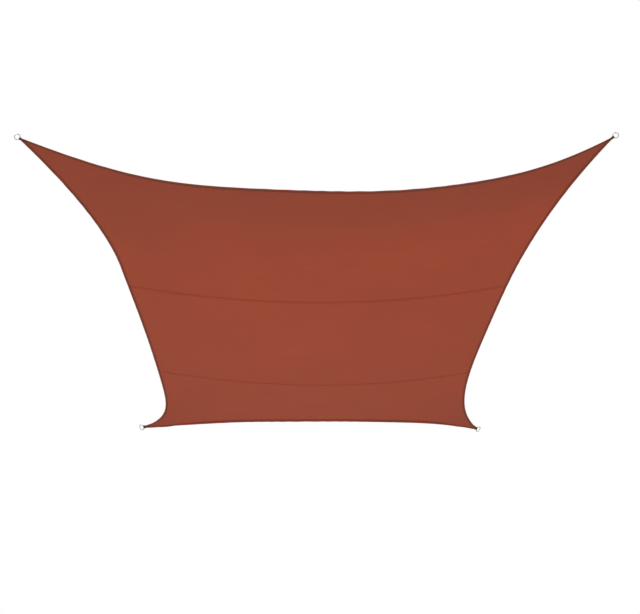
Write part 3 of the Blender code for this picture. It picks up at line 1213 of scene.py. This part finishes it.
@dataclass(frozen=True)
class SeamSection(SewnEdge):
    """The lap of one panel on the one in front of it, with two rows of stitching."""

    width: float = 0.020
    radius: float = 0.0006
    sharpness: float = 0.98
    row_inset: float = 0.0040
    dimple: float = 0.00018
    descent: float = 0.012  # over which the upper panel comes back down
    clearance: float = 0.00015
    outer_lines: Floats = (0.0, 0.0003, 0.0007, 0.0028, 0.0040, 0.0052, 0.0100)
    inner_lines: Floats = (-0.0052, -0.0040, -0.0028, 0.0)

    @property
    def descent_lines(self) -> Floats:
        """Distances at which the upper panel's mesh has more rows, where it comes back down."""
        return tuple(self.width + self.descent * quarter / 4.0 for quarter in range(1, 5))

    def lift(self, past_edge: Array, face: Face) -> Array:
        """Share of a seam's lift that a face has at some distances behind the upper panel's front edge."""
        first = 0.0 if face is Face.UPPER else self.width
        return np.where(past_edge >= first, within(past_edge, self.width + self.descent, self.width), 0.0)


CLOTH = 0.0012  # thickness of the single cloth
SIDE_HEM = HemSection()
FRONT_HEM = HemSection(tape=(0.0078, 0.0158))
BACK_HEM = HemSection(width=0.034, tape=(0.0190, 0.0315))
SEAM = SeamSection()


class Strip(Enum):
    """The three panels, each with the number of the edge or seam where it starts."""

    FRONT = 0
    MIDDLE = 1
    BACK = 2


class PanelPlaces(NamedTuple):
    """The points of a panel's mesh in plan, and their distances from its edges."""

    x: Array
    y: Array
    from_side: Array
    from_start: Array
    from_end: Array


@dataclass(frozen=True)
class Panel:
    """A strip of cloth across the sail, with its hems, its laps and its cut corners."""

    strip: Strip
    shape: SailShape
    columns: int = 200
    rows: int = 88
    rounds: int = 4  # of working out where each column of the mesh meets the edge
    measured: int = 8  # of so many lines of the mesh, one is measured
    slot: str = "sail_cloth"
    upper_shade: float = 0.7  # how dark the hems' painted shade is on the upper face, as a share of that on the under face
    lap_margin: float = 0.0001  # the lap's painted shade reaches this far past it
    front_light: float = 0.10  # painted light at the front edge, where 0 is full painted shade
    front_reach: float = 0.62  # from there to where the painted shade ends
    # painted light at the corners
    corner_light: float = 0.35
    corner_reach: Span = (0.08, 0.68)  # from a corner, where its painted shade begins to lift and where it ends
    back_light: float = 0.85  # painted light of all but the middle of the back, which is painted lightest
    back_reach: Span = (1.15, 1.60)  # Y of where the middle of the back begins to be painted lighter, and is fully
    back_width: float = 0.35  # widths are shares of the sail's
    shaded: float = 0.55  # how much painted shade darkens the left front
    shaded_at: tuple[float, float] = (0.08, 0.45)  # share of the way across, and distance from the front edge
    shaded_size: tuple[float, float] = (0.20, 0.40)

    @property
    def starts_free(self) -> bool:
        """Whether its front edge is the sail's."""
        return self.strip is Strip.FRONT

    @property
    def ends_free(self) -> bool:
        """Whether its back edge is the sail's."""
        return self.strip is Strip.BACK

    @property
    def corners(self) -> list[Corner]:
        """The sail's corners that this panel hangs from, which for the middle one are all of them."""
        far = {Strip.FRONT: Edge.BACK, Strip.BACK: Edge.FRONT}.get(self.strip)
        return [corner for corner in Corner if corner.end is not far]

    @staticmethod
    def lines(first: Sequence[float], last: Sequence[float], count: int) -> tuple[Array, Array]:
        """Lines of the mesh from one edge to the other.

        Args:
            first: Distances of the lines near the first edge.
            last: Distances of those near the last edge.
            count: Lines between them.

        Returns:
            Each line's share of the way across, and its further distance.
        """
        middle = np.linspace(0.0, 1.0, count + 2)[1:-1]
        shares = np.concatenate([np.zeros(len(first)), middle, np.ones(len(last))])
        return shares, np.concatenate([first, between(first[-1], -last[-1], middle), -np.array(last[::-1])])

    def edge_y(self, line: int, share: Array, inset: Array) -> Array:
        """Y of the panel's front or back edge, for each column of its mesh.

        Args:
            line: The edge's number, from 0 at the sail's front edge to 3 at its back edge.
            share: Each column's share of the way across.
            inset: Each column's further distance.

        Returns:
            Y for each column.
        """
        if 0 < line < 3:
            reach = SEAM.width / 2.0 if line > self.strip.value else -SEAM.width / 2.0
            return np.full_like(share, self.shape.seams[line - 1] + reach)
        end = Edge.FRONT if line == 0 else Edge.BACK
        y = self.shape.end_y(end, share)
        for _ in range(self.rounds):
            y = self.shape.end_y(end, self.shape.share_across(self.shape.x_at(y, share, inset), y))
        return y

    def places(self) -> PanelPlaces:
        """Lays the panel's mesh out, with more lines near its edges.

        Returns:
            The points, and their distances from the edges.
        """
        share, inset = self.lines(SIDE_HEM.lines, SIDE_HEM.lines, self.columns)
        first = FRONT_HEM.lines if self.starts_free else SEAM.lines + SEAM.descent_lines
        last = BACK_HEM.lines if self.ends_free else SEAM.lines
        row_share, row_inset = (part[:, None] for part in self.lines(first, last, self.rows))
        start, end = (self.edge_y(self.strip.value + step, share, inset) for step in (0, 1))
        y = between(start, end, row_share) + row_inset
        across, along = self.shape.across, self.shape.along
        from_side = np.minimum(inset + share * across, (1.0 - share) * across - inset)
        from_start = row_inset + row_share * along
        from_end = (1.0 - row_share) * along - row_inset
        x = self.shape.x_at(y, share, inset)
        return PanelPlaces(x, y, np.broadcast_to(from_side, y.shape), from_start, from_end)

    def build(self) -> None:
        places = self.places()
        name = self.strip.name.lower()
        hems, laps = [(SIDE_HEM, places.from_side)], []
        if self.starts_free:
            hems.append((FRONT_HEM, places.from_start))
        else:
            laps.append((places.from_start, Face.UPPER))
        if self.ends_free:
            hems.append((BACK_HEM, places.from_end))
        else:
            laps.append((places.from_end, Face.UNDER))
        fold, shade, dimples, lapped = np.zeros((4, *places.y.shape))
        rounding = np.ones(places.y.shape)
        # painted shade of the hems: their tapes, their folded cloth, and full shade where two hems cross
        for hem, distance in hems:
            shade = np.maximum(np.maximum(shade, hem.shade(distance)), fold * hem.fold(distance))
            fold = np.maximum(fold, hem.fold(distance))
            rounding = np.minimum(rounding, hem.rounding(distance))
            dimples = dimples + hem.dimples(distance)
        above = between(CLOTH / 2.0, SIDE_HEM.above, fold) * rounding
        below = between(CLOTH / 2.0, SIDE_HEM.below, fold) * rounding
        middle = self.shape.point(places.x, places.y)
        if not self.starts_free:
            full = between(CLOTH, SIDE_HEM.above + SIDE_HEM.below, fold)
            middle[..., 2] += SEAM.lift(places.from_start, Face.UPPER) * (full + SEAM.clearance)
        for distance, face in laps:
            pressed = SEAM.dimples(distance)
            above = above * SEAM.rounding(distance) - pressed * (face is Face.UPPER)
            below = below * SEAM.rounding(distance) - pressed * (face is Face.UNDER)
            # where the lap's painted shade lies
            lapped = np.maximum(lapped, distance <= SEAM.width + self.lap_margin)
        mesh = new_mesh(f"cloth_panel_{name}", *closed_sheet(middle, above - dimples, below - dimples))
        # painted shade of the hems on both faces, lighter on the upper face
        set_attribute(mesh, "layers", np.concatenate([self.upper_shade * shade.ravel(), shade.ravel()]))
        set_attribute(mesh, "lapped", np.tile(lapped.ravel(), 2))
        # painted light: less near the front edge, the corners and the left front
        set_attribute(mesh, "faded", np.tile(self.fading(places.x, places.y).ravel(), 2))
        self.cut_tips(mesh)
        piece = add_piece(mesh, ClothFinish(), self.slot, f"panel_{name}")

    def fading(self, x: Array, y: Array) -> Array:
        """How much painted light the cloth gets: least near the front edge, the corners and the left front,
        which get painted shade.

        Args:
            x: Places across the sail.
            y: Places along it.

        Returns:
            From 0, in full painted shade, to 1 at each place.
        """
        share = self.shape.share_across(x, y)
        from_front = y - self.shape.end_y(Edge.FRONT, share)
        front = between(self.front_light, 1.0, ease(from_front, 0.0, self.front_reach))
        corner = ease(self.shape.corner_distance(x, y), *self.corner_reach)
        back = ease(y, *self.back_reach) * bell(share - 0.5, self.back_width)
        shaded = self.shaded * bell(share - self.shaded_at[0], self.shaded_size[0])
        shaded = shaded * bell(from_front - self.shaded_at[1], self.shaded_size[1])
        faded = front * between(self.corner_light, 1.0, corner) * between(self.back_light, 1.0, back)
        return faded * (1.0 - shaded)

    def cut_tips(self, mesh: bpy.types.Mesh) -> None:
        """Cuts the panel's corners square to the line of pull and closes the cuts.

        Args:
            mesh: The panel's mesh.
        """
        if self.strip is Strip.MIDDLE:
            return
        shape = bmesh.new()
        shape.from_mesh(mesh)
        for corner in self.corners:
            frame = self.shape.corner_frame(corner)
            cut = bmesh.ops.bisect_plane(
                shape,
                geom=shape.verts[:] + shape.edges[:] + shape.faces[:],
                plane_co=Vector(frame.point - frame.pull * corner.fitting.tip_cut),
                plane_no=Vector(frame.pull),
                clear_outer=True,
            )
            edges = [item for item in cut["geom_cut"] if isinstance(item, bmesh.types.BMEdge)]
            bmesh.ops.holes_fill(shape, edges=edges)
        shape.to_mesh(mesh)
        shape.free()


# ---- Stitching


class Stitches(NamedTuple):
    """A row of stitches: their middles, their directions and the surface's outward normals."""

    middles: Array
    directions: Array
    normals: Array


@dataclass(frozen=True)
class Thread:
    """A row of lockstitches: each one lies arched on the cloth and dips into it at both ends."""

    radius: float = 0.00045
    pitch: float = 0.0062
    gap: float = 0.0013
    sides: int = 4
    along: Floats = (-1.0, -0.62, 0.0, 0.62, 1.0)  # places along a stitch, in half lengths
    rise: Floats = (-0.9, 0.55, 0.8, 0.55, -0.9)  # its height there, in radii
    thick: Floats = (0.45, 1.0, 1.0, 1.0, 0.45)

    @property
    def half(self) -> float:
        """Half the length of a stitch."""
        return (self.pitch - self.gap) / 2.0

    def placed(self, line: Array, normals: Array) -> Stitches:
        """Spaces stitches along a line.

        Args:
            line: Points along the row.
            normals: The surface's outward normal at each.

        Returns:
            The stitches.
        """
        run = run_length(line)
        count = max(int(run[-1] / self.pitch), 1)
        at = (np.arange(count) + 0.5) * run[-1] / count
        before, middles, after = (resample(line, run, at + step) for step in (-self.half, 0.0, self.half))
        return Stitches(middles, unit(after - before), unit(resample(normals, run, at)))

    def mesh(self, name: str, rows: Sequence[Stitches]) -> bpy.types.Mesh:
        """One joined mesh of all the stitches in some rows.

        Args:
            name: The mesh's name.
            rows: The rows.

        Returns:
            The mesh.
        """
        middles, directions, normals = (np.concatenate(part)[:, None, None] for part in zip(*rows))
        across = unit(np.cross(normals, directions))
        up = np.cross(directions, across)
        along, rise, thick = (np.array(part)[:, None, None] for part in (self.along, self.rise, self.thick))
        turn = FULL_TURN * (np.arange(self.sides)[:, None] + 0.5) / self.sides
        out, high = np.cos(turn) * thick, np.sin(turn) * thick + rise
        points = middles + directions * along * self.half + (across * out + up * high) * self.radius
        size = len(self.along) * self.sides
        caps = np.array([np.arange(self.sides)[::-1], size - self.sides + np.arange(self.sides)])
        one = np.concatenate([grid_faces(len(self.along), self.sides, loop_columns=True), caps])
        first = np.arange(len(middles))[:, None, None] * size
        return new_mesh(name, points.reshape(-1, 3), (first + one).reshape(-1, 4))


@dataclass(frozen=True)
class Stitching:
    """The rows of stitches that close the hems and the seams, on both faces of the cloth."""

    shape: SailShape
    thread: Thread = Thread()
    slot: str = "sail_cloth"
    corner_gap: float = 0.010  # the rows stop this far short of each strap
    samples: int = 900

    @property
    def shares(self) -> Array:
        """Even shares along an edge or a seam."""
        return np.linspace(0.0, 1.0, self.samples)

    def on_faces(self, x: Array, y: Array, above: float, below: float, dimple: float) -> list[Stitches]:
        """Stitches along a line, on both faces.

        Args:
            x: Places across the sail.
            y: Places along it.
            above: The cloth's thickness above its middle surface.
            below: Its thickness below.
            dimple: How deep they are pulled in.

        Returns:
            A row for each face.
        """
        straps = np.where(y < 0.0, *(FITTINGS[end].reach for end in ENDS))
        kept = self.shape.corner_distance(x, y) > straps + self.corner_gap
        rows = []
        for face, thickness in zip(Face, (above, below)):
            normals = self.shape.normal(x, y) * face.value
            line = self.shape.point(x, y) + normals * (thickness - dimple)
            lifts = [SEAM.lift(y - seam + SEAM.width / 2.0, face) for seam in self.shape.seams]
            line[:, 2] += np.maximum(*lifts) * (above + below + SEAM.clearance)
            rows.append(self.thread.placed(line[kept], normals[kept]))
        return rows

    def hem_rows(self, edge: Edge) -> list[Stitches]:
        """The rows of one edge's hem.

        Args:
            edge: An edge of the sail.

        Returns:
            A row for each line of stitching and each face.
        """
        hem = {Edge.FRONT: FRONT_HEM, Edge.BACK: BACK_HEM}.get(edge, SIDE_HEM)
        rows = []
        for inset in hem.stitch_rows:
            if edge in SIDES:
                y = (self.shares - 0.5) * self.shape.along
                x = self.shape.x_at(y, float(edge is Edge.RIGHT), -edge.out * inset)
            else:
                y = self.shape.end_y(edge, self.shares) - edge.out * inset
                x = self.shape.x_at(y, self.shares)
            rows += self.on_faces(x, y, hem.above, hem.below, hem.dimple)
        return rows

    def seam_rows(self, seam: float) -> list[Stitches]:
        """The rows of one seam.

        Args:
            seam: Y of the seam.

        Returns:
            A row for each line of stitching and each face.
        """
        rows = []
        for inset in SEAM.stitch_rows:
            y = np.full(self.samples, seam - SEAM.width / 2.0 + inset)
            left, right = (self.shape.side_x(y, side) - side.out * SIDE_HEM.width for side in SIDES)
            rows += self.on_faces(between(left, right, self.shares), y, CLOTH / 2.0, CLOTH / 2.0, SEAM.dimple)
        return rows

    def build(self) -> None:
        """Builds the stitching of each hem and each seam."""
        pieces = {f"hem_stitching_{edge.label}": self.hem_rows(edge) for edge in Edge}
        for end, seam in zip(ENDS, self.shape.seams):
            pieces[f"seam_stitching_{end.label}"] = self.seam_rows(seam)
        for name, rows in pieces.items():
            add_piece(self.thread.mesh(name, rows), ThreadFinish(), self.slot)


# ---- Straps and rings


@dataclass(frozen=True)
class CornerRing:
    """A ring of round stainless wire, closed by a weld, and pulled away from its corner."""

    corner: Corner
    shape: SailShape
    turns: int = 128
    sides: int = 24
    weld_bearing: float = 62.0  # degrees round from the line of pull
    weld_rise: float = 0.00035
    weld_width: float = 0.0022
    bead_pitch: float = 0.0013
    bead_swing: float = 0.25  # of the weld's rise, along the wire
    lobes: int = 3  # round the wire
    lobe_swing: float = 0.3
    slot: str = "ring_steel"

    def build(self) -> None:
        """Builds the ring."""
        frame, fitting = self.shape.corner_frame(self.corner), self.corner.fitting
        turn, side = (FULL_TURN * np.arange(count) / count for count in (self.turns, self.sides))
        bearing = -math.radians(self.weld_bearing) * self.corner.side.out
        away = ((turn - bearing + math.pi) % FULL_TURN - math.pi) * fitting.ring_radius
        weld = bell(away, self.weld_width)
        swing = self.bead_swing * np.cos(away * FULL_TURN / self.bead_pitch)
        beads = weld * (1.0 - self.bead_swing + swing)
        lobes = 1.0 + self.lobe_swing * np.cos(self.lobes * side)
        radius = fitting.wire + self.weld_rise * beads[:, None] * lobes
        out = np.cos(turn)[:, None] * frame.pull + np.sin(turn)[:, None] * frame.ring_width
        reach = fitting.ring_radius + radius * np.cos(side)
        points = frame.point + out[:, None] * reach[..., None]
        points = points + frame.ring_normal * (radius * np.sin(side))[..., None]
        inward = grid_faces(self.turns, self.sides, loop_rows=True, loop_columns=True)
        faces = np.roll(inward[:, ::-1], 1, axis=1)
        mesh = new_mesh(f"wire_ring_{self.corner.label}", points.reshape(-1, 3), faces)
        run = np.broadcast_arrays(turn[:, None] * fitting.ring_radius, side * fitting.wire, 0.0)
        set_attribute(mesh, "wire_run", np.stack(run, axis=-1).reshape(-1, 3))
        set_attribute(mesh, "weld", np.repeat(weld, self.sides))
        add_piece(mesh, SteelFinish(), self.slot, f"ring_{self.corner.label}")


@dataclass(frozen=True)
class CornerStrap:
    """A webbing strap that is sewn over a corner of the cloth and holds its ring in a loop."""

    corner: Corner
    shape: SailShape
    thickness: float = 0.0015
    clearance: float = 0.0001  # from the cloth
    ring_clearance: float = 0.0004
    rib_pitch: float = 0.0017
    rib_depth: float = 0.00022
    rows_per_rib: int = 5
    columns: int = 15
    leg_points: int = 24
    slack_points: int = 12  # from a leg's end to the wire
    wire_points: int = 33
    measured_points: int = 400
    stroke_points: int = 30
    squareness: int = 10  # power of the section's rounding
    thinnest: float = 0.06  # square of the share of the thickness that its edges have
    sewn_depth: float = 0.6  # of the stitches in the ribs, as a share of the ribs' depth
    slot: str = "strap_webbing"
    box_inset: float = 0.0026  # from the strap's edges to its box of stitches
    thread: Thread = Thread(radius=0.00038, pitch=0.0030, gap=0.0007)

    def on_leg(self, reach: Array, offset: Array, face: Face, further: float = 0.0) -> Array:
        """Points of the webbing's middle where it lies on the cloth.

        Args:
            reach: Distances from the ring's middle, against the pull.
            offset: Distances across the strap.
            face: Which face of the cloth.
            further: Distance out from the webbing's middle.

        Returns:
            A point for each.
        """
        frame = self.shape.corner_frame(self.corner)
        flat = frame.point - np.multiply.outer(reach, frame.pull) + np.multiply.outer(offset, frame.width)
        x, y = flat[..., 0], flat[..., 1]
        hem = SIDE_HEM.above if face is Face.UPPER else SIDE_HEM.below
        height = hem + self.clearance + self.thickness / 2.0 + further
        return self.shape.point(x, y) + self.shape.normal(x, y) * height * face.value

    def line(self, offset: float, steps: int) -> Array:
        """The webbing's middle from the end of one leg round the ring's wire to the end of the other.

        Args:
            offset: Distance across the strap.
            steps: Points along the line.

        Returns:
            The points.
        """
        frame, fitting = self.shape.corner_frame(self.corner), self.corner.fitting
        reach = np.linspace(fitting.reach, fitting.tip_cut, self.leg_points)
        upper, under = (self.on_leg(reach, np.full_like(reach, offset), face) for face in Face)
        inward = math.sqrt(fitting.ring_radius**2 - offset**2)
        wire = frame.point - frame.pull * inward + frame.ring_width * offset
        nose_radius = fitting.wire + self.ring_clearance + self.thickness / 2.0
        apart = (upper[-1] - under[-1]) / 2.0
        share = np.linspace(0.0, 1.0, self.slack_points + 2)[1:-1, None]
        middle = between((upper[-1] + under[-1]) / 2.0, wire, share)
        half = between(np.linalg.norm(apart), nose_radius, share)
        half = half * unit(between(unit(apart), frame.ring_normal, share))
        turn = np.linspace(0.0, math.pi, self.wire_points)[:, None]
        ahead = frame.pull * fitting.ring_radius / inward
        nose = wire + nose_radius * (frame.ring_normal * np.cos(turn) + ahead * np.sin(turn))
        rough = np.concatenate([upper, middle + half, nose, (middle - half)[::-1], under[::-1]])
        run = run_length(rough)
        return resample(rough, run, np.linspace(0.0, run[-1], steps))

    def build(self) -> None:
        """Builds the strap and its box of stitches."""
        length = run_length(self.line(0.0, self.measured_points))[-1]
        steps = round(length / self.rib_pitch) * self.rows_per_rib + 1
        across = np.sin(np.linspace(-1.0, 1.0, self.columns) * math.pi / 2.0)
        offsets = self.corner.fitting.strap_width / 2.0 * across
        middle = np.stack([self.line(offset, steps) for offset in offsets], axis=1)
        rib = 0.5 - 0.5 * np.cos(FULL_TURN * np.arange(steps) / self.rows_per_rib)
        edge = np.sqrt(np.clip(1.0 - across**self.squareness, self.thinnest, 1.0))
        half = (self.thickness / 2.0 - self.rib_depth * (1.0 - rib[:, None])) * edge
        mesh = new_mesh(f"webbing_strap_{self.corner.label}", *closed_sheet(middle, half, half))
        run = np.broadcast_arrays(np.linspace(0.0, length, steps)[:, None], offsets, 0.0)
        set_attribute(mesh, "webbing_run", np.tile(np.stack(run, axis=-1).reshape(-1, 3), (2, 1)))
        set_attribute(mesh, "rib", np.tile(np.repeat(rib, self.columns), 2))
        add_piece(mesh, WebbingFinish(), self.slot, f"strap_{self.corner.label}")
        stitches = self.thread.mesh(f"strap_stitching_{self.corner.label}", self.box_rows())
        add_piece(stitches, ThreadFinish(), self.slot)

    def box_rows(self) -> list[Stitches]:
        """The box and cross of stitches that hold the strap's legs to the cloth.

        Returns:
            A row of stitches for each side of the box and each stroke of the cross, on both faces.
        """
        fitting = self.corner.fitting
        side = fitting.strap_width / 2.0 - self.box_inset
        near, far = fitting.tip_cut + self.box_inset, fitting.reach - self.box_inset
        box = ((near, -side), (near, side), (far, side), (far, -side))
        strokes = ((0, 1), (1, 2), (2, 3), (3, 0), (0, 2), (1, 3))
        height = self.thickness / 2.0 - self.rib_depth * self.sewn_depth
        rows = []
        for face in Face:
            for start, end in strokes:
                reach, offset = np.linspace(box[start], box[end], self.stroke_points).T
                line = self.on_leg(reach, offset, face, further=height)
                rows.append(self.thread.placed(line, unit(line - self.on_leg(reach, offset, face))))
        return rows


# ---- Studio


@dataclass(frozen=True)
class SoftLight:
    """A large square area light that the camera doesn't see."""

    name: str
    place: tuple[float, float, float]
    aim: tuple[float, float, float]
    size: float
    power: float

    def build(self) -> None:
        """Adds the light."""
        data = bpy.data.lights.new(self.name, "AREA")
        data.shape = "RECTANGLE"
        data.size = data.size_y = self.size
        data.energy = self.power
        made = add_object(self.name, data)
        made.location = self.place
        towards = Vector(self.aim) - Vector(self.place)
        made.rotation_euler = towards.to_track_quat("-Z", "Y").to_euler()
        made.visible_camera = False


@dataclass(frozen=True)
class Viewpoint:
    """The camera below the front edge of the sail, looking up along it."""

    place: tuple[float, float, float] = (-0.1137, -5.4946, -2.9140)
    pitch: float = 28.960  # degrees above the horizon
    yaw: float = 1.683  # degrees to the right of +Y
    roll: float = -1.192
    focal_pixels: float = 893.0
    image_width: float = 640.0
    sensor: float = 36.0

    def build(self) -> None:
        """Adds the camera and makes it the scene's."""
        pitch, yaw, roll = (math.radians(angle) for angle in (self.pitch, self.yaw, self.roll))
        level = Vector((math.cos(yaw), -math.sin(yaw), 0.0))
        ahead = Vector((math.sin(yaw), math.cos(yaw), 0.0))
        forward = ahead * math.cos(pitch) + Vector((0.0, 0.0, math.sin(pitch)))
        upright = level.cross(forward)
        right = level * math.cos(roll) + upright * math.sin(roll)
        up = upright * math.cos(roll) - level * math.sin(roll)
        data = bpy.data.cameras.new("camera")
        data.sensor_width = self.sensor
        data.lens = self.focal_pixels * self.sensor / self.image_width
        made = add_object("camera", data)
        turned = Matrix((right, up, -forward)).transposed().to_4x4()
        made.matrix_world = Matrix.Translation(Vector(self.place)) @ turned
        bpy.context.scene.camera = made


@dataclass(frozen=True)
class Studio:
    """The floor, the white surroundings, the lights and the camera."""

    floor_height: float = -4.15
    floor_size: float = 60.0
    floor_points: int = 5  # along each side
    surroundings: float = 0.62  # brightness that lights the sail
    lights: tuple[SoftLight, ...] = (
        SoftLight("key_light", place=(-3.2, -2.6, 4.6), aim=(0.0, 0.2, -0.1), size=3.5, power=260.0),
        SoftLight("fill_light", place=(3.8, 2.4, 3.6), aim=(0.0, 0.0, -0.1), size=3.0, power=90.0),
        SoftLight("under_light", place=(0.0, -0.6, -3.8), aim=(0.0, -0.2, -0.2), size=6.5, power=60.0),
    )

    def build(self) -> None:
        """Adds everything that the sail is seen with."""
        self.add_floor()
        self.add_surroundings()
        for light in self.lights:
            light.build()
        Viewpoint().build()
        bpy.context.scene.view_settings.view_transform = "Standard"

    def add_floor(self) -> None:
        """Adds the floor far below the sail."""
        count = self.floor_points
        line = np.linspace(-0.5, 0.5, count) * self.floor_size
        points = np.stack([*np.meshgrid(line, line), np.zeros((count, count))], axis=-1)
        mesh = bpy.data.meshes.new("studio_floor")
        mesh.from_pydata(points.reshape(-1, 3).tolist(), [], grid_faces(count, count).tolist())
        mesh.materials.append(FloorFinish().material())
        floor = add_object("studio_floor", mesh)
        floor.location.z = self.floor_height

    def add_surroundings(self) -> None:
        """Adds plain white surroundings, a little dimmer as a light than to look at."""
        world = bpy.data.worlds.new("studio")
        bpy.context.scene.world = world
        world.use_nodes = True
        graph = Graph(world.node_tree)
        background = world.node_tree.nodes["Background"].inputs
        seen = graph.node("LightPath").outputs["Is Camera Ray"]
        graph.feed(background["Color"], (1.0, 1.0, 1.0, 1.0))
        graph.feed(background["Strength"], graph.spread(seen, (self.surroundings, 1.0)))


# ---- The whole scene


def main() -> None:
    """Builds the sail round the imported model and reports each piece."""
    logging.basicConfig(level=logging.INFO, format="%(name)s: %(message)s")
    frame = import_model()
    LOG.info("packed solids: %d", len(frame["nodes"]))
    Studio().build()
    shape = SailShape()
    for strip in Strip:
        Panel(strip, shape).build()
    Stitching(shape).build()
    for corner in Corner:
        CornerRing(corner, shape).build()
        CornerStrap(corner, shape).build()


if __name__ == "__main__":
    main()
